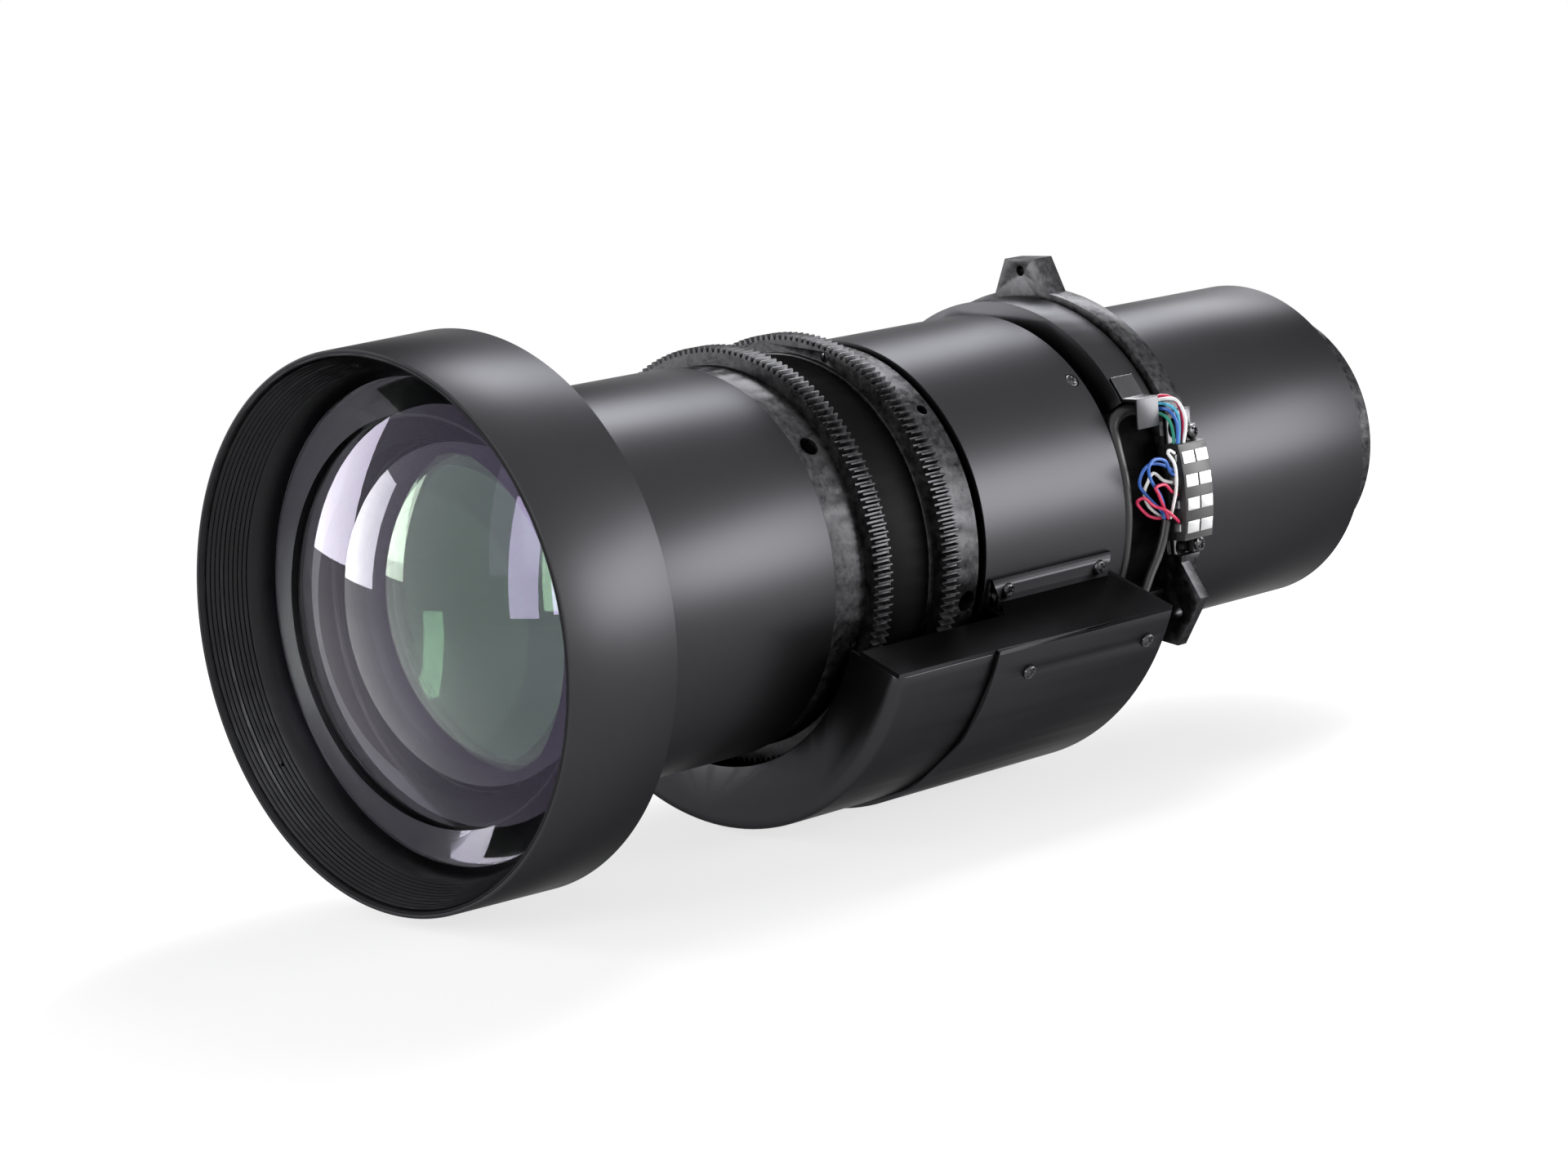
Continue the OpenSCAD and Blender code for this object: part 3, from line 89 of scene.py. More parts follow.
# %% Place the camera
CAMERA_AZIMUTH = math.radians(45.67)
CAMERA_ELEVATION = math.radians(9.21)
CAMERA_ROLL = math.radians(-4.49)
CAMERA_SPOT = Vector((996.5, -1104.8, 211.5)) * MM
CAMERA_LENS = 101.0
SENSOR_WIDTH = 36.0
NEAREST_SEEN = 50 * MM

look = Vector((-math.sin(CAMERA_AZIMUTH) * math.cos(CAMERA_ELEVATION),
               math.cos(CAMERA_AZIMUTH) * math.cos(CAMERA_ELEVATION), -math.sin(CAMERA_ELEVATION)))
level_right = look.cross(Vector((0, 0, 1))).normalized()
level_up = level_right.cross(look)
right = level_right * math.cos(CAMERA_ROLL) + level_up * math.sin(CAMERA_ROLL)
up = right.cross(look)
camera_turn = Matrix((right, up, -look)).transposed().to_4x4()

camera_data = bpy.data.cameras.new("camera")
camera_data.sensor_fit = "HORIZONTAL"
camera_data.sensor_width = SENSOR_WIDTH
camera_data.lens = CAMERA_LENS
camera_data.clip_start = NEAREST_SEEN
camera = link(bpy.data.objects.new("camera", camera_data))
camera.matrix_world = Matrix.Translation(CAMERA_SPOT) @ camera_turn
bpy.context.scene.camera = camera
bpy.context.scene.view_settings.view_transform = "Standard"
print("camera looks along", [round(c, 3) for c in look])

# %% [markdown]
# ## Light
# Satin black shows almost nothing but what it reflects, so the light is built from lamps that
# stand where the barrels mirror them toward the camera. A wide box draws the bright band near the
# height of the axis, and a long bar draws the one near the top. A mirror rule finds their
# places: a lamp lies where the camera's sight line goes after it bounces off the wall at the
# angle where the band should be. The bar spans the long lens, so it needs two such places. They
# were worked out once, for the hood and for the rear barrel, and are typed below.

# %% Lamps that face the lens
LENS_MIDDLE = Vector((0, -0.1, 0))


def area_light(name, length, width, power, place):
    """A rectangular lamp, length and width along its own X and Y. It shines along its own -Z."""
    data = bpy.data.lights.new(name, "AREA")
    data.shape = "RECTANGLE"
    data.size, data.size_y = length, width
    data.energy = power
    lamp = link(bpy.data.objects.new(name, data))
    lamp.matrix_world = place
    print(name, "is", round(length, 2), "by", round(width, 2), "m, power in watts:", power)


def soft_box(name, direction, distance, width, height, power, target=LENS_MIDDLE):
    """A lamp that faces its target from a direction."""
    turn = (-direction).to_track_quat("-Z", "Y").to_matrix().to_4x4()
    spot = target + direction.normalized() * distance
    area_light(name, width, height, power, Matrix.Translation(spot) @ turn)


def light_bar(name, near_end, far_end, beyond, width, power, target=LENS_MIDDLE):
    """A lamp whose middle line runs through two points and some way beyond each."""
    along = (far_end - near_end).normalized()
    middle = (near_end + far_end) / 2
    toward = target - middle
    toward = (toward - along * toward.dot(along)).normalized()
    turn = Matrix((along, along.cross(toward), -toward)).transposed().to_4x4()
    length = (far_end - near_end).length + 2 * beyond
    area_light(name, length, width, power, Matrix.Translation(middle) @ turn)


# %% The two bright bands and a little fill
SIDE_BAND_ANGLE = math.radians(10)
BAR_NEAR_END = Vector((-460, 755, 1045)) * MM
BAR_FAR_END = Vector((-625, 1180, 799)) * MM


def mirror_direction(wall_angle):
    """Where a sight line goes after bouncing off a barrel's wall at this angle above +X."""
    normal = Vector((math.cos(wall_angle), 0, math.sin(wall_angle)))
    return look - 2 * look.dot(normal) * normal


soft_box("side_box", mirror_direction(SIDE_BAND_ANGLE), distance=1.6, width=1.5, height=0.85, power=36)
light_bar("top_bar", BAR_NEAR_END, BAR_FAR_END, beyond=0.45, width=0.38, power=42)
soft_box("front_fill", Vector((0.2, -1, 0.5)), distance=2.0, width=1.2, height=1.2, power=5)

# %% [markdown]
# The domed glass mirrors what stands in front of the lens. One card stands at the left with its
# lower edge at the height of the axis, one narrow card stands straight ahead. They draw the
# bright crescents in the glass and hardly touch the black metal.

# %% Cards that the front glass mirrors
DOME_MIDDLE = Vector((0, -0.29, 0))
DOME_RIGHT = Vector((0.05, -0.29, 0))
soft_box("left_card", Vector((-0.93, -0.30, 0.24)), distance=1.3, width=0.5, height=0.62, power=9,
         target=DOME_MIDDLE)
soft_box("ahead_card", Vector((0.10, -0.95, 0.26)), distance=1.3, width=0.26, height=1.0, power=12,
         target=DOME_RIGHT)

# %% [markdown]
# ## Helpers for shader nodes
# Every finish below is a small network of nodes. Most of these helpers add one node and its
# links in a single line, so that a material reads like a sum rather than a wiring list.

# %% Node helpers
def connect(tree, *pairs):
    """Links each pair of sockets, the first feeding the second."""
    for source, target in pairs:
        tree.links.new(source, target)


def new_group(name, inputs, outputs):
    """An empty shader group with named inputs, which hold a value each, and named outputs."""
    group = bpy.data.node_groups.new(name, "ShaderNodeTree")
    for label, kind, value in inputs:
        socket = group.interface.new_socket(label, in_out="INPUT", socket_type=kind)
        socket.default_value = value
    for label, kind in outputs:
        group.interface.new_socket(label, in_out="OUTPUT", socket_type=kind)
    return group, group.nodes.new("NodeGroupInput"), group.nodes.new("NodeGroupOutput")


def feed(tree, socket, value):
    """Sets a socket to a number, or links another socket to it."""
    if isinstance(value, (int, float)):
        socket.default_value = value
    else:
        tree.links.new(value, socket)


def math_node(tree, operation, *values):
    """A Math node on numbers and sockets. It gives its output socket."""
    node = tree.nodes.new("ShaderNodeMath")
    node.operation = operation
    for socket, value in zip(node.inputs, values):
        feed(tree, socket, value)
    return node.outputs[0]


def noise(tree, vector, scale, detail=3.0, rough=0.55):
    """A Noise node on a vector, with a number or a socket for its scale."""
    node = tree.nodes.new("ShaderNodeTexNoise")
    node.inputs["Detail"].default_value = detail
    node.inputs["Roughness"].default_value = rough
    tree.links.new(vector, node.inputs["Vector"])
    feed(tree, node.inputs["Scale"], scale)
    return node.outputs["Fac"]


def bump_node(tree, height, strength, depth, under=None):
    """A Bump node on a height, laid over another normal where there is one."""
    node = tree.nodes.new("ShaderNodeBump")
    node.inputs["Strength"].default_value = strength
    node.inputs["Distance"].default_value = depth
    tree.links.new(height, node.inputs["Height"])
    if under is not None:
        tree.links.new(under, node.inputs["Normal"])
    return node.outputs["Normal"]


def seen_mask(tree):
    """1 where the camera looks, straight, in a reflection or through glass, and 0 for plain light."""
    path = tree.nodes.new("ShaderNodeLightPath")
    seen = math_node(tree, "MAXIMUM", path.outputs["Is Camera Ray"], path.outputs["Is Glossy Ray"])
    return math_node(tree, "MAXIMUM", seen, path.outputs["Is Transmission Ray"])


# %% [markdown]
# ## Surroundings
# The backdrop has to look white while the light on the lens stays at a plain level. So the
# world is full white where it is seen, also in metal and through glass, and weaker as a light.

# %% World
WORLD_AS_LIGHT = 0.35

world = bpy.data.worlds.new("studio")
bpy.context.scene.world = world
world.use_nodes = True
world_tree = world.node_tree
background = world_tree.nodes["Background"]
background.inputs["Color"].default_value = (1, 1, 1, 1)
strength = world_tree.nodes.new("ShaderNodeMapRange")
strength.inputs["To Min"].default_value = WORLD_AS_LIGHT
connect(world_tree, (seen_mask(world_tree), strength.inputs["Value"]),
        (strength.outputs["Result"], background.inputs["Strength"]))
print("world strength:", WORLD_AS_LIGHT, "as a light, 1 where it is seen")

# %% [markdown]
# The floor is pale and matt, and mixed with a white glow where it is seen. The glow is weaker
# near the lens, so that its shadow stays, and grows to full white further out, so that floor
# and backdrop meet without a line.

# %% Floor
FLOOR_DROP = 0.2 * MM
FLOOR_REACH = 3.0

floor_z = cad_box[0].z - FLOOR_DROP
floor_corners = [(-FLOOR_REACH, -FLOOR_REACH, floor_z), (FLOOR_REACH, -FLOOR_REACH, floor_z),
                 (FLOOR_REACH, FLOOR_REACH, floor_z), (-FLOOR_REACH, FLOOR_REACH, floor_z)]
floor_mesh = bpy.data.meshes.new("floor")
floor_mesh.from_pydata(floor_corners, [], [(0, 1, 2, 3)])
floor = link(bpy.data.objects.new("floor", floor_mesh))
print("floor at z in mm:", round(floor_z / MM, 2))

# %% Floor finish
FLOOR_COLOUR = (0.85, 0.85, 0.85, 1)
FLOOR_ROUGH = 0.9
GLOW_NEAR, GLOW_NEAR_REACH, GLOW_FULL_REACH = 0.72, 0.35, 1.1

floor_material = bpy.data.materials.new("pale floor")
floor_material.use_nodes = True
floor_tree = floor_material.node_tree
floor_shader = floor_tree.nodes["Principled BSDF"]
floor_shader.inputs["Base Color"].default_value = FLOOR_COLOUR
floor_shader.inputs["Roughness"].default_value = FLOOR_ROUGH
floor_where = floor_tree.nodes.new("ShaderNodeTexCoord")
away = floor_tree.nodes.new("ShaderNodeVectorMath")
away.operation = "LENGTH"
fade = floor_tree.nodes.new("ShaderNodeMapRange")
fade.interpolation_type = "SMOOTHSTEP"
fade.inputs["From Min"].default_value = GLOW_NEAR_REACH
fade.inputs["From Max"].default_value = GLOW_FULL_REACH
fade.inputs["To Min"].default_value = GLOW_NEAR
glow = floor_tree.nodes.new("ShaderNodeEmission")
blend = floor_tree.nodes.new("ShaderNodeMixShader")
share = math_node(floor_tree, "MULTIPLY", seen_mask(floor_tree), fade.outputs["Result"])
connect(floor_tree, (floor_where.outputs["Object"], away.inputs[0]),
        (away.outputs["Value"], fade.inputs["Value"]), (share, blend.inputs["Fac"]),
        (floor_shader.outputs["BSDF"], blend.inputs[1]), (glow.outputs["Emission"], blend.inputs[2]),
        (blend.outputs["Shader"], floor_tree.nodes["Material Output"].inputs["Surface"]))
floor.data.materials.append(floor_material)
print("floor glow:", GLOW_NEAR, "near the lens, 1 beyond", GLOW_FULL_REACH, "m")

# %% [markdown]
# ## Finishes
# Most of the lens is one black with small differences: turned and anodised on the barrels,
# cast or moulded and slightly mottled on the gear rings, matt inside and between the gears, where
# a darker black is painted shade. What they share is in a node group that breaks a surface up
# with fine grain and a slow mottle. A second group draws closely spaced rings round the axis, as a
# lathe leaves them, and is laid over the grooves of the baffle in the hood.

# %% Shared effect: grain and mottle
CONTRAST_GAIN = 4.0
GRAIN_SHARE = 0.5
HALF = 0.5

grain_group, g_in, g_out = new_group("grain and mottle", [
    ("Vector", "NodeSocketVector", (0, 0, 0)), ("Grain Scale", "NodeSocketFloat", 2500.0),
    ("Mottle Scale", "NodeSocketFloat", 60.0), ("Contrast", "NodeSocketFloat", 0.3),
    ("Dark", "NodeSocketColor", (0.03, 0.03, 0.03, 1)), ("Light", "NodeSocketColor", (0.06, 0.06, 0.06, 1)),
    ("Rough Low", "NodeSocketFloat", 0.3), ("Rough High", "NodeSocketFloat", 0.45)],
    [("Color", "NodeSocketColor"), ("Roughness", "NodeSocketFloat"), ("Height", "NodeSocketFloat")])
fine = noise(grain_group, g_in.outputs["Vector"], g_in.outputs["Grain Scale"], detail=2.0)
slow = noise(grain_group, g_in.outputs["Vector"], g_in.outputs["Mottle Scale"], detail=5.0, rough=0.65)
gain = math_node(grain_group, "MULTIPLY", g_in.outputs["Contrast"], CONTRAST_GAIN)
slow_swing = math_node(grain_group, "SUBTRACT", slow, HALF)
fine_swing = math_node(grain_group, "SUBTRACT", fine, HALF)
spread = math_node(grain_group, "MULTIPLY_ADD", slow_swing, gain, HALF)
both = math_node(grain_group, "MULTIPLY_ADD", fine_swing, GRAIN_SHARE, spread)
mix = grain_group.nodes.new("ShaderNodeMix")
mix.data_type = "RGBA"
mix.clamp_factor = True
rough = grain_group.nodes.new("ShaderNodeMapRange")
connect(grain_group, (both, mix.inputs["Factor"]), (g_in.outputs["Dark"], mix.inputs["A"]),
        (g_in.outputs["Light"], mix.inputs["B"]), (mix.outputs["Result"], g_out.inputs["Color"]),
        (both, rough.inputs["Value"]), (g_in.outputs["Rough Low"], rough.inputs["To Min"]),
        (g_in.outputs["Rough High"], rough.inputs["To Max"]),
        (rough.outputs["Result"], g_out.inputs["Roughness"]), (fine, g_out.inputs["Height"]))
print("grain and mottle:", len(grain_group.nodes), "nodes")

# %% Shared effect: lathe rings
WANDER_SCALE = 40.0

ring_group, r_in, r_out = new_group("lathe rings", [
    ("Vector", "NodeSocketVector", (0, 0, 0)), ("Pitch mm", "NodeSocketFloat", 0.4),
    ("Waver", "NodeSocketFloat", 0.3)], [("Height", "NodeSocketFloat")])
split = ring_group.nodes.new("ShaderNodeSeparateXYZ")
ring_group.links.new(r_in.outputs["Vector"], split.inputs[0])
along_mm = math_node(ring_group, "MULTIPLY", split.outputs["Y"], 1 / MM)
turns = math_node(ring_group, "DIVIDE", along_mm, r_in.outputs["Pitch mm"])
wander = noise(ring_group, r_in.outputs["Vector"], WANDER_SCALE, detail=1.0)
waver = math_node(ring_group, "MULTIPLY", wander, r_in.outputs["Waver"])
phase = math_node(ring_group, "ADD", turns, waver)
wave = math_node(ring_group, "SINE", math_node(ring_group, "MULTIPLY", phase, 2 * math.pi))
ring_height = math_node(ring_group, "MULTIPLY_ADD", wave, HALF, HALF)
ring_group.links.new(ring_height, r_out.inputs["Height"])
print("lathe rings:", len(ring_group.nodes), "nodes")

# %% [markdown]
# One recipe serves every metal and moulding. Black anodised metal mirrors far less than bare
# metal does, so its reflection at a shallow angle is turned down with the specular tint. Its colour
# moves between a dark and a light shade, and grain or lathe rings lift the surface where the real
# one is rough to the touch.

# %% One recipe for the finishes
GRAIN_DEPTH = 0.02 * MM
RING_DEPTH = 0.01 * MM


def surface(name, dark, light, rough, mottle=60.0, contrast=0.2, metallic=1.0, edge=0.4, bump=0.0,
            rings=None, rings_bump=0.1):
    """A material between two shades and two roughnesses. rings is a pitch in mm, bump a strength."""
    material = bpy.data.materials.new(name)
    material.use_nodes = True
    tree = material.node_tree
    shader = tree.nodes["Principled BSDF"]
    shader.inputs["Metallic"].default_value = metallic
    shader.inputs["Specular Tint"].default_value = (edge, edge, edge, 1)
    where = tree.nodes.new("ShaderNodeTexCoord")
    group = tree.nodes.new("ShaderNodeGroup")
    group.node_tree = grain_group
    group.inputs["Mottle Scale"].default_value = mottle
    group.inputs["Contrast"].default_value = contrast
    group.inputs["Dark"].default_value = (*dark, 1)
    group.inputs["Light"].default_value = (*light, 1)
    group.inputs["Rough Low"].default_value, group.inputs["Rough High"].default_value = rough
    connect(tree, (where.outputs["Object"], group.inputs["Vector"]),
            (group.outputs["Color"], shader.inputs["Base Color"]),
            (group.outputs["Roughness"], shader.inputs["Roughness"]))
    normal = None
    if bump:
        normal = bump_node(tree, group.outputs["Height"], bump, GRAIN_DEPTH)
    if rings:
        lathe = tree.nodes.new("ShaderNodeGroup")
        lathe.node_tree = ring_group
        lathe.inputs["Pitch mm"].default_value = rings
        tree.links.new(where.outputs["Object"], lathe.inputs["Vector"])
        normal = bump_node(tree, lathe.outputs["Height"], rings_bump, RING_DEPTH, under=normal)
    if normal is not None:
        tree.links.new(normal, shader.inputs["Normal"])
    return material


# %% Metals and mouldings
satin = surface("satin black anodised", (0.038, 0.038, 0.041), (0.050, 0.050, 0.053), (0.34, 0.40),
                contrast=0.06)
cast = surface("mottled black gear", (0.018, 0.018, 0.020), (0.085, 0.085, 0.088), (0.24, 0.5),
               mottle=420.0, contrast=0.42, bump=0.3)
# Matt black for the parts inside the lens and the spacer between the gears, darker than the barrels as
# painted shade of those recesses
matt_black_painted_shade = surface("dull black inside", (0.006, 0.006, 0.006), (0.012, 0.012, 0.012), (0.5, 0.6),
               contrast=0.1)
grooved = surface("grooved black baffle", (0.016, 0.016, 0.017), (0.032, 0.032, 0.034), (0.3, 0.42),
                  contrast=0.15, rings=0.8, rings_bump=0.35)
bracket = surface("bracket black", (0.03, 0.03, 0.032), (0.045, 0.045, 0.048), (0.32, 0.42),
                  contrast=0.12)
steel = surface("dark plated screw", (0.04, 0.04, 0.042), (0.10, 0.10, 0.105), (0.2, 0.34),
                contrast=0.3, edge=0.8)
plated = surface("dark plated sheet", (0.055, 0.055, 0.058), (0.095, 0.095, 0.10), (0.26, 0.38),
                 edge=0.7)
brass = surface("turned brass", (0.55, 0.4, 0.16), (0.72, 0.55, 0.25), (0.25, 0.35), edge=1.0)
silver = surface("silvered contact", (0.42, 0.42, 0.43), (0.58, 0.58, 0.58), (0.34, 0.46), edge=1.0)
plastic = surface("black moulding", (0.012, 0.012, 0.012), (0.02, 0.02, 0.02), (0.35, 0.5),
                  metallic=0.0, edge=1.0)
metals = (satin, cast, matt_black_painted_shade, grooved, bracket, steel, plated, brass, silver, plastic)
print("metals and mouldings:", ", ".join(m.name for m in metals))

# %% Cable sheath and coloured wires
SHADE_SHARE = 0.85
WIRE_ROUGH = (0.25, 0.35)


def coloured(name, colour, rough):
    """An extruded plastic in one colour that darkens slightly here and there."""
    return surface(name, [c * SHADE_SHARE for c in colour], colour, rough, mottle=900.0, contrast=0.15,
                   metallic=0.0, edge=1.0)


wire_colours = {
    "wires_blue": (0.03, 0.12, 0.45), "wires_red": (0.55, 0.02, 0.08), "wires_white": (0.8, 0.8, 0.78),
    "wire_green": (0.02, 0.3, 0.2), "wire_light_blue": (0.1, 0.5, 0.7)}
sheath = coloured("cable sheath", (0.008, 0.008, 0.009), (0.38, 0.48))
wire_finish = {n: coloured(n.replace("_", " "), c, WIRE_ROUGH) for n, c in wire_colours.items()}
print("wire colours:", len(wire_finish))

# %% [markdown]
# Coated glass is nearly clear. Its coat gives reflections a tint, violet on the front glass and
# green on the ones behind, and the glass itself takes a little colour out of what is seen
# through it. The deep glasses take more, which stands in for the many faces of a real lens.

# %% Coated glass
GLASS_IOR = 1.52


def glass_material(name, tint, body):
    """Clear glass with a tinted reflection and a body colour."""
    material = bpy.data.materials.new(name)
    material.use_nodes = True
    shader = material.node_tree.nodes["Principled BSDF"]
    shader.inputs["Transmission Weight"].default_value = 1.0
    shader.inputs["IOR"].default_value = GLASS_IOR
    shader.inputs["Roughness"].default_value = 0.0
    shader.inputs["Base Color"].default_value = (*body, 1)
    shader.inputs["Specular Tint"].default_value = (*tint, 1)
    return material


front_coat = glass_material("coated front glass", (0.62, 0.52, 0.85), (0.93, 0.95, 0.93))
inner_coat = glass_material("coated inner glass", (0.45, 0.70, 0.50), (0.78, 0.85, 0.80))
deep_coat = glass_material("coated deep glass", (0.40, 0.60, 0.50), (0.45, 0.52, 0.48))
print("glasses:", front_coat.name, "-", inner_coat.name, "-", deep_coat.name)

# %% Put the finishes on
finish = {
    satin: ["hood", "front_cell", "middle_sleeve", "rear_collar", "cover_front", "cover_rear",
            "front_barrel", "focus_sleeve", "rear_barrel", "main_barrel"],
    grooved: ["hood_baffle"],
    # The parts inside the lens and the spacer between the gears take the matt black with painted shade
    matt_black_painted_shade: ["inner_cell", "cam_tube", "zoom_cell_a", "zoom_cell_b", "iris_ring", "rear_carrier",
           "relay_cell", "gear_seat"],
    cast: ["focus_ring", "zoom_ring", "tail_ring", "mount_flange"],
    bracket: ["motor_saddle", "cover_bracket_right", "cover_bracket_left"],
    steel: ["focus_band_screws", "zoom_ring_screws", "sleeve_screws", "flange_screws", "bracket_screws",
            "cover_screws", "block_screws", "focus_motor", "zoom_motor"],
    brass: ["focus_pins", "zoom_pins_a", "zoom_pins_b", "focus_pinion", "zoom_pinion"],
    plastic: ["limit_switches", "contact_block"],
    plated: ["terminal_bracket", "cable_clip"],
    silver: ["contacts", "solder_tags"],
    sheath: ["motor_cable", "switch_cable"],
    front_coat: ["front_glass"],
    inner_coat: ["second_glass", "third_glass"],
    deep_coat: ["zoom_glass_a", "zoom_glass_b", "relay_glass", "rear_glass"],
}
finish.update({m: [n] for n, m in wire_finish.items()})
for material, names in finish.items():
    for name in names:
        slots = nodes[name].data.materials
        slots.clear()
        slots.append(material)
bare = set(nodes) - {n for names in finish.values() for n in names}
print("finishes:", len(finish), "nodes without one:", len(bare))

# %% [markdown]
# ## Glass
# A lens is two spherical faces and a ground edge. Mirror-like faces show every facet of a
# coarse mesh, so each of the four glasses that show is spun here from its true arcs. The curves
# repeat those of the solid, and its place and radius are read off the solid's box.

# %% Spin a profile round the lens axis
ON_AXIS = 1e-7


def smooth(data, sharp):
    """Shades a mesh smooth but for edges that turn by more than an angle in degrees."""
    data.polygons.foreach_set("use_smooth", [True] * len(data.polygons))
    data.set_sharp_from_angle(angle=math.radians(sharp))


def spun(name, profile, material, steps=192, sharp=30):
    """A closed ring of (y, r) points turned about the lens axis. A point with r = 0 becomes a pole."""
    angles = [2 * math.pi * k / steps for k in range(steps)]
    mesh = bmesh.new()
    rows = []
    for y, r in profile:
        if r < ON_AXIS:
            rows.append([mesh.verts.new((0, y, 0))] * steps)
        else:
            rows.append([mesh.verts.new((r * math.cos(a), y, r * math.sin(a))) for a in angles])
    for a, b in zip(rows, rows[1:] + rows[:1]):
        if a[0] is a[1] and b[0] is b[1]:
            continue
        for k in range(steps):
            n = (k + 1) % steps
            corners = [a[k], a[n], b[n], b[k]]
            mesh.faces.new([v for i, v in enumerate(corners) if v not in corners[:i]])
    bmesh.ops.recalc_face_normals(mesh, faces=mesh.faces)
    data = bpy.data.meshes.new(name)
    mesh.to_mesh(data)
    mesh.free()
    data.materials.append(material)
    smooth(data, sharp)
    return link(bpy.data.objects.new(name, data))


def stand_in(piece, node):
    """The piece rides with the CAD node's body and takes the node's place."""
    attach(piece, body_of[node])
    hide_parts(node)
    print(piece.name, "takes the place of", node, "with", len(piece.data.polygons), "faces")


# %% The arcs of a lens
ARC_POINTS = 28


def sag(curve, r):
    """How far a sphere of this radius falls back from its middle to a ring of radius r."""
    return curve - math.sqrt(curve * curve - r * r)


def arc(y_apex, curve, r_from, r_to):
    """Points of a face whose middle lies at y_apex; a positive curve bends rearward toward its edge."""
    side = math.copysign(1, curve)
    radii = [r_from + (r_to - r_from) * k / (ARC_POINTS - 1) for k in range(ARC_POINTS)]
    return [(y_apex + side * sag(abs(curve), r), r) for r in radii]


# %% Glasses
GLASS_PLAY = 0.1 * MM
GLASS_LAP = 0.5 * MM
GROUND_SHARE = 0.3


def clear(name, front_curve, back_curve, edge, material, back_r=None):
    """A glass from its curves, positive where a face's middle lies forward of its edge."""
    low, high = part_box(name)
    r = high.x - GLASS_PLAY
    face = r - GLASS_LAP
    ground = GLASS_LAP * GROUND_SHARE
    back_face = back_r or face
    front_edge = low.y + sag(front_curve, face) if front_curve > 0 else low.y
    front_apex = low.y if front_curve > 0 else front_edge + sag(-front_curve, face)
    back_edge = front_edge + edge
    back_apex = back_edge - math.copysign(sag(abs(back_curve), back_face), back_curve)
    rim = [(front_edge, r - ground), (front_edge + ground, r), (back_edge - ground, r),
           (back_edge, r - ground)]
    profile = arc(front_apex, front_curve, 0, face) + rim + arc(back_apex, back_curve, back_face, 0)
    stand_in(spun(name + "_spun", profile, material), name)


clear("front_glass", 150 * MM, 110 * MM, edge=7 * MM, material=front_coat, back_r=60 * MM)
clear("second_glass", 120 * MM, 140 * MM, edge=6 * MM, material=inner_coat)
clear("third_glass", -200 * MM, -90 * MM, edge=6 * MM, material=inner_coat)
clear("rear_glass", -150 * MM, -120 * MM, edge=6 * MM, material=deep_coat)

# %% [markdown]
# ## Turned shells
# The four plain barrels fill most of the picture, and a broad highlight runs along each of them.
# They are spun afresh with many even steps, so that the highlight stays calm from end to end.
# Three come here, and the middle sleeve follows once the places of its screws are known.
# Each corner of a profile gets a small chamfer of two edges, which shows as a thin bright line.

# %% A turned shell with chamfered corners
CHAMFER = 0.25 * MM
CORNER_PULL = 0.29
SHELL_STEPS = 256
SHELL_SHARP = 32


def chamfered(corners, size):
    """A closed (y, r) profile with every corner cut by two short edges."""
    out = []
    count = len(corners)
    for i, corner in enumerate(corners):
        here = Vector(corner)
        back = (Vector(corners[i - 1]) - here).normalized()
        ahead = (Vector(corners[(i + 1) % count]) - here).normalized()
        out += [tuple(here + back * size), tuple(here + (back + ahead) * size * CORNER_PULL),
                tuple(here + ahead * size)]
    return out


def turned_shell(name, corners, chamfer=CHAMFER):
    """A barrel in the satin finish from the corners of its wall, each a (y, r)."""
    return spun(name + "_turned", chamfered(corners, chamfer), satin, steps=SHELL_STEPS, sharp=SHELL_SHARP)


# %% Hood, front barrel and rear barrel
HOOD_R, HOOD_FLARE, HOOD_WALL, HOOD_BACK = 85 * MM, 0.9 * MM, 1.2 * MM, 3 * MM
BARREL_WALL, BARREL_CHAMFER = 2.5 * MM, 0.45 * MM
REAR_WALL, REAR_CHAMFER = 3.15 * MM, 0.08 * MM
SPIGOT_STEP, SHOULDER_IN = 1.5 * MM, 0.1 * MM

hood_low, hood_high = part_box("hood")
barrel_low, barrel_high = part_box("front_barrel")
barrel_r = barrel_high.x
bore = barrel_r - BARREL_WALL
hood_ri = HOOD_R - HOOD_WALL
stand_in(turned_shell("hood", [
    (hood_low.y, hood_ri), (hood_low.y, HOOD_R), (hood_high.y, HOOD_R + HOOD_FLARE),
    (hood_high.y, bore), (hood_high.y - HOOD_BACK, bore), (hood_high.y - HOOD_BACK, hood_ri)]),
    "hood")
stand_in(turned_shell("front_barrel", [
    (barrel_low.y, bore), (barrel_low.y, barrel_r), (barrel_high.y, barrel_r), (barrel_high.y, bore)],
    BARREL_CHAMFER), "front_barrel")

rear_low, rear_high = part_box("rear_barrel")
rear_r = rear_high.x
rear_ri = rear_r - REAR_WALL
spigot_r = rear_r - SPIGOT_STEP
stand_in(turned_shell("rear_barrel", [
    (rear_low.y, rear_ri), (rear_low.y, spigot_r), (-SHOULDER_IN, spigot_r), (-SHOULDER_IN, rear_r),
    (rear_high.y, rear_r), (rear_high.y, rear_ri)], REAR_CHAMFER), "rear_barrel")

# %% [markdown]
# ## Screw heads
# The solids hold plain heads with a straight cross cut. The real ones are pan heads with a
# rounded top and a cross recess with sloping walls. One head is modelled as a round grid whose
# height follows a formula, and Geometry Nodes puts a copy on every place, each turned to an
# angle of its own, as screws end up after tightening.

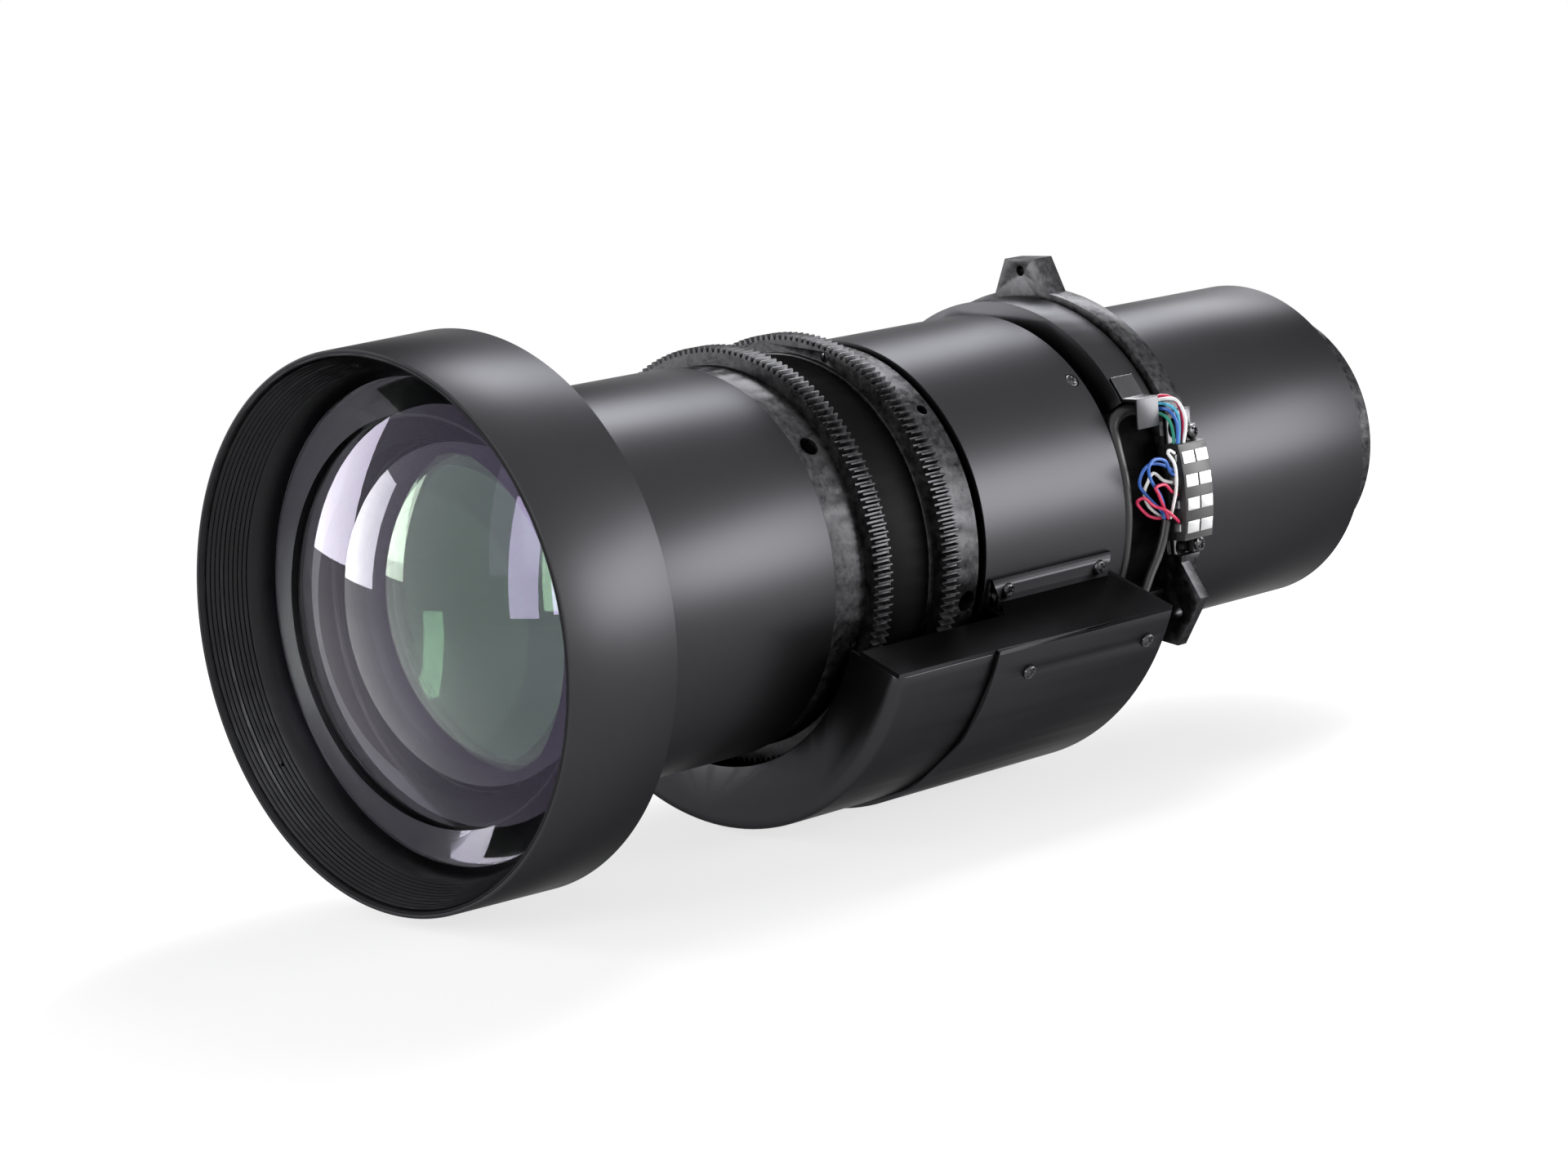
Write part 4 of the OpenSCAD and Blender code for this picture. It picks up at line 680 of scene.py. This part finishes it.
# %% Geometry Nodes helpers
def new_tree(name, inputs):
    """An empty Geometry Nodes tree that takes and gives geometry, with named inputs."""
    tree = bpy.data.node_groups.new(name, "GeometryNodeTree")
    tree.interface.new_socket("Geometry", in_out="INPUT", socket_type="NodeSocketGeometry")
    for label, kind, value in inputs:
        socket = tree.interface.new_socket(label, in_out="INPUT", socket_type=kind)
        if value is not None:
            socket.default_value = value
    tree.interface.new_socket("Geometry", in_out="OUTPUT", socket_type="NodeSocketGeometry")
    return tree, tree.nodes.new("NodeGroupInput"), tree.nodes.new("NodeGroupOutput")


def grown(source, tree, values, name):
    """Runs a tree on an object and keeps the result as a plain mesh object."""
    modifier = source.modifiers.new("grow", "NODES")
    modifier.node_group = tree
    for item in tree.interface.items_tree:
        if item.item_type == "SOCKET" and item.in_out == "INPUT" and item.name in values:
            modifier[item.identifier] = values[item.name]
    done = source.evaluated_get(bpy.context.evaluated_depsgraph_get())
    mesh = bpy.data.meshes.new_from_object(done)
    source.modifiers.remove(modifier)
    bpy.data.objects.remove(source)
    mesh.name = name
    return link(bpy.data.objects.new(name, mesh))


def finish_tree(tree, geometry, group_in, group_out):
    """Ends a tree as every tree here ends: real geometry, with the Finish input on it."""
    real = tree.nodes.new("GeometryNodeRealizeInstances")
    paint = tree.nodes.new("GeometryNodeSetMaterial")
    connect(tree, (geometry, real.inputs["Geometry"]), (real.outputs["Geometry"], paint.inputs["Geometry"]),
            (group_in.outputs["Finish"], paint.inputs["Material"]),
            (paint.outputs["Geometry"], group_out.inputs["Geometry"]))


# %% The height of a pan head with a cross recess
DOME_DROP, DOME_POWER = 0.42, 2.6
RIM_SHARE, RIM_DROP = 0.86, 0.75
ARM_WIDTH_SHARE, ARM_LENGTH_SHARE, RECESS_SHARE = 0.30, 0.72, 0.55
ARM_SIDE_SLOPE, ARM_END_SLOPE = 0.25, 0.22


def head_height(x, y, r, h):
    """Height over the seat, for a head of radius r and height h at its middle."""
    radius = math.hypot(x, y) / r
    top = h * (1 - DOME_DROP * radius ** DOME_POWER)
    if radius > RIM_SHARE:
        top *= max(0.0, 1 - ((radius - RIM_SHARE) / (1 - RIM_SHARE)) ** 2 * RIM_DROP)
    arm_w, arm_l = ARM_WIDTH_SHARE * r, ARM_LENGTH_SHARE * r
    cut = 0.0
    for a, b in ((abs(x), abs(y)), (abs(y), abs(x))):
        across = min(1.0, max(0.0, (arm_w - b) / (ARM_SIDE_SLOPE * arm_w)))
        along = min(1.0, max(0.0, (arm_l - a) / (ARM_END_SLOPE * arm_l)))
        cut = max(cut, across * along)
    return top - RECESS_SHARE * h * cut


# %% The head itself
HEAD_STEPS, HEAD_ROWS = 48, 14
ROW_POWER = 0.9
HEAD_SHARP = 40


def pan_head(name, r, h):
    """A closed head whose seat is at z = 0 and which stands on +Z."""
    turns = [2 * math.pi * k / HEAD_STEPS for k in range(HEAD_STEPS)]
    mesh = bmesh.new()
    centre = mesh.verts.new((0, 0, head_height(0, 0, r, h)))
    rings = []
    for row in range(1, HEAD_ROWS + 1):
        radius = r * (row / HEAD_ROWS) ** ROW_POWER
        spots = [(radius * math.cos(a), radius * math.sin(a)) for a in turns]
        rings.append([mesh.verts.new((x, y, head_height(x, y, r, h))) for x, y in spots])
    rings.append([mesh.verts.new((v.co.x, v.co.y, 0)) for v in rings[-1]])
    for k in range(HEAD_STEPS):
        n = (k + 1) % HEAD_STEPS
        mesh.faces.new((centre, rings[0][k], rings[0][n]))
        for a, b in zip(rings, rings[1:]):
            mesh.faces.new((a[k], b[k], b[n], a[n]))
    mesh.faces.new(list(reversed(rings[-1])))
    bmesh.ops.recalc_face_normals(mesh, faces=mesh.faces)
    data = bpy.data.meshes.new(name)
    mesh.to_mesh(data)
    mesh.free()
    smooth(data, HEAD_SHARP)
    return link(bpy.data.objects.new(name, data))


# %% Find the places of the screws in a node
SAME_SPOT = 0.002 * MM
RIM_BAND = 0.97


def islands(node):
    """Lists of vertex positions, one for each loose solid of a CAD node."""
    mesh = bmesh.new()
    mesh.from_mesh(nodes[node].data)
    bmesh.ops.remove_doubles(mesh, verts=mesh.verts, dist=SAME_SPOT)
    mesh.verts.ensure_lookup_table()
    seen, found = set(), []
    for start in mesh.verts:
        if start.index in seen:
            continue
        stack, island = [start], []
        seen.add(start.index)
        while stack:
            vert = stack.pop()
            island.append(vert.co.copy())
            for edge in vert.link_edges:
                other = edge.other_vert(vert)
                if other.index not in seen:
                    seen.add(other.index)
                    stack.append(other)
        found.append(island)
    mesh.free()
    return found


def middle_of(island):
    """The mean of a loose solid's vertices."""
    return sum(island, Vector()) / len(island)


def radial_facing(island):
    """The way from the lens axis to a loose solid."""
    middle = middle_of(island)
    return Vector((middle.x, 0, middle.z)).normalized()


def head_place(island, facing):
    """Seat centre, head radius and head height of a screw whose head looks along facing."""
    along = [p.dot(facing) for p in island]
    middle = middle_of(island)
    axis_point = middle - facing * middle.dot(facing)
    radii = [(p - facing * p.dot(facing) - axis_point).length for p in island]
    head_r = max(radii)
    seat = min(a for a, r in zip(along, radii) if r > head_r * RIM_BAND)
    return axis_point + facing * seat, head_r, max(along) - seat


# %% A tree that copies the head onto every place
heads_tree, heads_in, heads_out = new_tree("screw heads", [
    ("Head", "NodeSocketObject", None), ("Finish", "NodeSocketMaterial", None),
    ("Seed", "NodeSocketInt", 3)])
info = heads_tree.nodes.new("GeometryNodeObjectInfo")
facing_attribute = heads_tree.nodes.new("GeometryNodeInputNamedAttribute")
facing_attribute.data_type = "FLOAT_VECTOR"
facing_attribute.inputs["Name"].default_value = "facing"
align = heads_tree.nodes.new("FunctionNodeAlignRotationToVector")
align.axis = "Z"
spin = heads_tree.nodes.new("FunctionNodeRandomValue")
spin.data_type = "FLOAT"
FLOAT_MAX, FLOAT_VALUE = 3, 1
spin.inputs[FLOAT_MAX].default_value = math.pi
turn = heads_tree.nodes.new("FunctionNodeAxisAngleToRotation")
turned = heads_tree.nodes.new("FunctionNodeRotateRotation")
turned.rotation_space = "LOCAL"
place = heads_tree.nodes.new("GeometryNodeInstanceOnPoints")
connect(heads_tree, (heads_in.outputs["Head"], info.inputs["Object"]),
        (heads_in.outputs["Geometry"], place.inputs["Points"]),
        (info.outputs["Geometry"], place.inputs["Instance"]),
        (facing_attribute.outputs["Attribute"], align.inputs["Vector"]),
        (heads_in.outputs["Seed"], spin.inputs["Seed"]), (spin.outputs[FLOAT_VALUE], turn.inputs["Angle"]),
        (align.outputs["Rotation"], turned.inputs["Rotation"]),
        (turn.outputs["Rotation"], turned.inputs["Rotate By"]),
        (turned.outputs["Rotation"], place.inputs["Rotation"]))
finish_tree(heads_tree, place.outputs["Instances"], heads_in, heads_out)
print("screw heads tree:", len(heads_tree.nodes), "nodes")

# %% [markdown]
# ## The drilled sleeve
# Three screws are sunk into the middle sleeve, so its spun shell needs their holes. A boolean
# cuts them, but it leaves long thin faces that shade unevenly. The wall's normals are set from
# the axis afterwards, so that the sleeve looks as round beside a hole as elsewhere.

# %% Drill holes and keep the wall round
DRILL_STEPS = 48
WALL_LEAN = math.cos(math.radians(4))


def round_wall_normals(mesh):
    """Gives the faces of a tube's inner and outer wall the normals of a true cylinder."""
    normals = []
    for polygon in mesh.polygons:
        for corner in polygon.loop_indices:
            spot = mesh.vertices[mesh.loops[corner].vertex_index].co
            outward = Vector((spot.x, 0, spot.z)).normalized()
            lean = polygon.normal.dot(outward)
            if abs(lean) > WALL_LEAN:
                normals.append(outward * math.copysign(1, lean))
            else:
                normals.append(mesh.corner_normals[corner].vector.copy())
    mesh.normals_split_custom_set(normals)


def drilled(piece, holes):
    """Cuts round holes, each a (seat, facing, radius, height), into a piece and gives the new piece."""
    cutter_mesh = bmesh.new()
    for seat, facing, radius, height in holes:
        turn_to = facing.to_track_quat("Z", "Y").to_matrix().to_4x4()
        bmesh.ops.create_cone(cutter_mesh, cap_ends=True, segments=DRILL_STEPS, radius1=radius,
                              radius2=radius, depth=height,
                              matrix=Matrix.Translation(seat + facing * height / 2) @ turn_to)
    data = bpy.data.meshes.new("cutter")
    cutter_mesh.to_mesh(data)
    cutter_mesh.free()
    cutter = link(bpy.data.objects.new("cutter", data))
    modifier = piece.modifiers.new("drill", "BOOLEAN")
    modifier.operation, modifier.solver, modifier.object = "DIFFERENCE", "EXACT", cutter
    mesh = bpy.data.meshes.new_from_object(piece.evaluated_get(bpy.context.evaluated_depsgraph_get()))
    new = link(bpy.data.objects.new(piece.name + "_drilled", mesh))
    bpy.data.objects.remove(piece)
    bpy.data.objects.remove(cutter)
    mesh.set_sharp_from_angle(angle=math.radians(SHELL_SHARP))
    round_wall_normals(mesh)
    return new


# %% Middle sleeve
SLEEVE_WALL = 2.2 * MM
HOLE_PLAY = 0.1 * MM
HOLE_HEIGHT = 4 * MM

holes = []
for island in islands("sleeve_screws"):
    facing = radial_facing(island)
    seat, head_r, _ = head_place(island, facing)
    holes.append((seat, facing, head_r + HOLE_PLAY, HOLE_HEIGHT))
sleeve_low, sleeve_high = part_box("middle_sleeve")
sleeve_r = sleeve_high.x
sleeve_ri = sleeve_r - SLEEVE_WALL
sleeve = turned_shell("middle_sleeve", [
    (sleeve_low.y, sleeve_ri), (sleeve_low.y, sleeve_r), (sleeve_high.y, sleeve_r),
    (sleeve_high.y, sleeve_ri)])
stand_in(drilled(sleeve, holes), "middle_sleeve")
print("holes in the sleeve:", len(holes))

# %% [markdown]
# ## The heads in their places
# Each loose solid of a screw node gives one place: where its seat is, and which way it faces.
# Screws round the lens face outward from the axis, the others along X or Y.

# %% Dress the screws of a node
def dress_screws(node, facing, seed):
    """Puts a pan head on each screw of a node. Without a facing, the screws point outward."""
    places = []
    for island in islands(node):
        look_out = facing or radial_facing(island)
        places.append((*head_place(island, look_out), look_out))
    points = bpy.data.meshes.new(node + "_places")
    points.from_pydata([p[0] for p in places], [], [])
    attribute = points.attributes.new("facing", "FLOAT_VECTOR", "POINT")
    attribute.data.foreach_set("vector", [c for p in places for c in p[3]])
    source = link(bpy.data.objects.new(node + "_places", points))
    head = pan_head(node + "_head", places[0][1], places[0][2])
    piece = grown(source, heads_tree, {"Head": head, "Finish": steel, "Seed": seed}, node + "_heads")
    bpy.data.objects.remove(head)
    smooth(piece.data, HEAD_SHARP)
    stand_in(piece, node)
    print(node, len(places), "heads of radius mm", round(places[0][1] / MM, 2))


TO_THE_RIGHT, TO_THE_REAR = Vector((1, 0, 0)), Vector((0, 1, 0))
dress_screws("cover_screws", None, seed=1)
dress_screws("bracket_screws", None, seed=2)
dress_screws("sleeve_screws", None, seed=5)
dress_screws("block_screws", TO_THE_RIGHT, seed=4)
dress_screws("flange_screws", TO_THE_REAR, seed=6)

# %% [markdown]
# ## Cables and wires
# A cable is a circle carried along a path. The path is a short list of points with
# a smooth curve through them, and Geometry Nodes sweeps the circle. The points repeat the CAD
# route, in millimetres.

# %% Sweep tree
sweep_tree, sweep_in, sweep_out = new_tree("swept cable", [
    ("Radius", "NodeSocketFloat", 0.001), ("Sides", "NodeSocketInt", 20),
    ("Finish", "NodeSocketMaterial", None)])
to_curve = sweep_tree.nodes.new("GeometryNodeMeshToCurve")
circle = sweep_tree.nodes.new("GeometryNodeCurvePrimitiveCircle")
sweep = sweep_tree.nodes.new("GeometryNodeCurveToMesh")
sweep.inputs["Fill Caps"].default_value = True
connect(sweep_tree, (sweep_in.outputs["Geometry"], to_curve.inputs["Mesh"]),
        (sweep_in.outputs["Radius"], circle.inputs["Radius"]),
        (sweep_in.outputs["Sides"], circle.inputs["Resolution"]),
        (to_curve.outputs["Curve"], sweep.inputs["Curve"]),
        (circle.outputs["Curve"], sweep.inputs["Profile Curve"]))
finish_tree(sweep_tree, sweep.outputs["Mesh"], sweep_in, sweep_out)
print("sweep tree:", len(sweep_tree.nodes), "nodes")

# %% Sweep a node's cables
CURVE_STEPS = 12
CABLE_SHARP = 50


def through(points):
    """A smooth curve through listed points in millimetres."""
    knots = [Vector(p) * MM for p in points]
    out = []
    for i in range(len(knots) - 1):
        a, b, c, d = knots[max(i - 1, 0)], knots[i], knots[i + 1], knots[min(i + 2, len(knots) - 1)]
        bend, twist = 2 * a - 5 * b + 4 * c - d, 3 * b - a - 3 * c + d
        for k in range(CURVE_STEPS):
            t = k / CURVE_STEPS
            out.append((2 * b + (c - a) * t + bend * t * t + twist * t ** 3) / 2)
    return out + [knots[-1]]


def swept(node, paths, radius_mm, material):
    """A node's cables or wires, one for each path, in place of its solids."""
    verts, edges = [], []
    for path_points in paths:
        line = through(path_points)
        first = len(verts)
        verts += line
        edges += [(first + k, first + k + 1) for k in range(len(line) - 1)]
    data = bpy.data.meshes.new(node + "_line")
    data.from_pydata(verts, edges, [])
    source = link(bpy.data.objects.new(node + "_line", data))
    piece = grown(source, sweep_tree, {"Radius": radius_mm * MM, "Finish": material}, node + "_swept")
    smooth(piece.data, CABLE_SHARP)
    stand_in(piece, node)


# %% Routes of the cables and wires
motor_route = [
    [(35.6, -111.8, -66.7), (37, -105, -66), (44, -92, -60), (51.6, -72, -47), (53.6, -52, -43.2),
     (54.5, -40, -42.8), (53, -35.9, -41), (50.8, -32.1, -36), (53.4, -31.2, -27.5),
     (57.2, -31.2, -17.5), (59.6, -31.2, -4), (59.3, -31.2, 8), (56.8, -31, 19), (54.7, -29.5, 25.6),
     (55.6, -25, 29.3), (58.4, -20, 29.9), (59.4, -16.6, 29.7)],
]
switch_route = [
    [(7, -137, -66.9), (7.8, -131, -70.6), (10.6, -123, -73.6), (18, -112, -74.5), (32, -92, -69),
     (46, -66, -54), (48, -50, -50), (48, -39.7, -49.5), (53, -35.2, -48), (58.2, -33, -41.6),
     (60.4, -29.4, -34.6), (61.2, -26, -29), (61.6, -23, -24), (62.2, -19.5, -18.5),
     (63, -17.2, -12.5), (63.4, -15.9, -7.5)],
]
blue_routes = [
    [(63.4, -16.7, -7), (63.8, -17, -3.1), (66, -21, 1.5), (68, -27.5, 7.7), (69, -29.4, 12),
     (69, -26.4, 14.3), (68.8, -21, 13.2), (68.2, -18.2, 9.6), (67, -15.6, 7.9), (66.6, -13, 7.2)],
    [(62.7, -15.3, -7), (62.3, -17.5, -3.6), (63, -24.6, 2.1), (64.8, -29.6, 6.6), (66.2, -28.6, 11.2),
     (66.4, -24.6, 12.6), (65.2, -17.5, 11), (65.4, -13, 8.6)],
    [(60.7, -16.1, 29.6), (61, -14, 29.2), (64.4, -12.6, 28.6), (66.3, -11.5, 25.6), (66.6, -11, 22),
     (66.1, -11, 17.2)],
]
red_routes = [
    [(62, -16.9, -6.8), (61.4, -19.4, -6.3), (61, -22.8, -4.6), (62.4, -28.6, 0), (64.6, -27.6, 1.6),
     (64.6, -23, -1.6), (66.8, -19.5, -3.6), (67.2, -16, -6.4), (66.4, -13, -8.4)],
    [(64.8, -16.3, -6.9), (65.4, -18.6, -3.4), (67.4, -23.4, 2.3), (68.6, -26, 5), (67.8, -20.6, 5.2),
     (66.9, -16.4, 2.4), (66.3, -13, 0.6)],
    [(58.5, -16.1, 30.9), (60.4, -11.2, 33), (63.6, -7.2, 30.6), (65.4, -6.6, 24), (64.9, -7.2, 17.2)],
]
white_routes = [
    [(64.5, -15, -7), (66.1, -15.2, -3.2), (68.1, -15.5, 2.4), (69.4, -16.4, 8.1), (69.6, -17.4, 12),
     (68.4, -18.6, 15.2), (67, -16.2, 15.8), (66.2, -13, 14.4)],
    [(61.4, -15.2, -7), (60.2, -20.3, -2.6), (61.2, -23.4, 2.2), (62.6, -23, 6), (62.8, -20, 8.6),
     (63, -15.5, 5.6), (64.6, -13, 4.6)],
    [(60.1, -16, 31), (61.3, -12.6, 32), (65, -9.4, 31.6), (67.4, -8.4, 27.6), (67.8, -8.1, 23),
     (66.4, -8.2, 17.2)],
]
green_routes = [
    [(59.4, -16.1, 28.5), (62, -13.2, 27.2), (64, -11.6, 24.6), (64.6, -11, 20.6), (64.6, -11, 17.2)],
]
light_blue_routes = [
    [(59.4, -16.1, 29.9), (61, -12.2, 30.6), (64.6, -10, 28.8), (66, -9.4, 24.5), (65.4, -9.5, 17.2)],
]
print("points in the two cable routes:", len(motor_route[0]), "and", len(switch_route[0]))

# %% Sweep them all
MOTOR_CABLE_R, SWITCH_CABLE_R, WIRE_R = 2.1, 1.5, 0.55
swept("motor_cable", motor_route, MOTOR_CABLE_R, sheath)
swept("switch_cable", switch_route, SWITCH_CABLE_R, sheath)
for node, paths in (("wires_blue", blue_routes), ("wires_red", red_routes), ("wires_white", white_routes),
                    ("wire_green", green_routes), ("wire_light_blue", light_blue_routes)):
    swept(node, paths, WIRE_R, wire_finish[node])

# %% [markdown]
# ## Soft edges
# A machined edge is never sharp. A narrow bevel on every CAD solid that still shows catches the
# light as a thin bright line. Folded sheet has a larger radius at its bends and edges, so the
# covers, their brackets and the clip get a wider one.

# %% Soften the solids that show
EDGE_WIDTH, FOLD_WIDTH = 0.15 * MM, 0.32 * MM
EDGE_SEGMENTS = 2
EDGE_ANGLE = math.radians(35)
FLAT_ANGLE = math.radians(0.2)


def soften(name, width):
    """Welds a node's loose triangles, joins the flat ones and bevels its sharp edges."""
    obj = nodes[name]
    for polygon in obj.data.polygons:
        polygon.use_smooth = True
    weld = obj.modifiers.new("weld", "WELD")
    weld.merge_threshold = SAME_SPOT
    flat = obj.modifiers.new("flat", "DECIMATE")
    flat.decimate_type = "DISSOLVE"
    flat.angle_limit = FLAT_ANGLE
    bevel = obj.modifiers.new("bevel", "BEVEL")
    bevel.width = width
    bevel.segments = EDGE_SEGMENTS
    bevel.limit_method = "ANGLE"
    bevel.angle_limit = EDGE_ANGLE
    bevel.harden_normals = True


folded = ("cover_front", "cover_rear", "cover_bracket_right", "cover_bracket_left", "cable_clip")
shown = [name for name in nodes if not nodes[name].hide_render]
for name in shown:
    soften(name, FOLD_WIDTH if name in folded else EDGE_WIDTH)
print("softened solids:", len(shown))
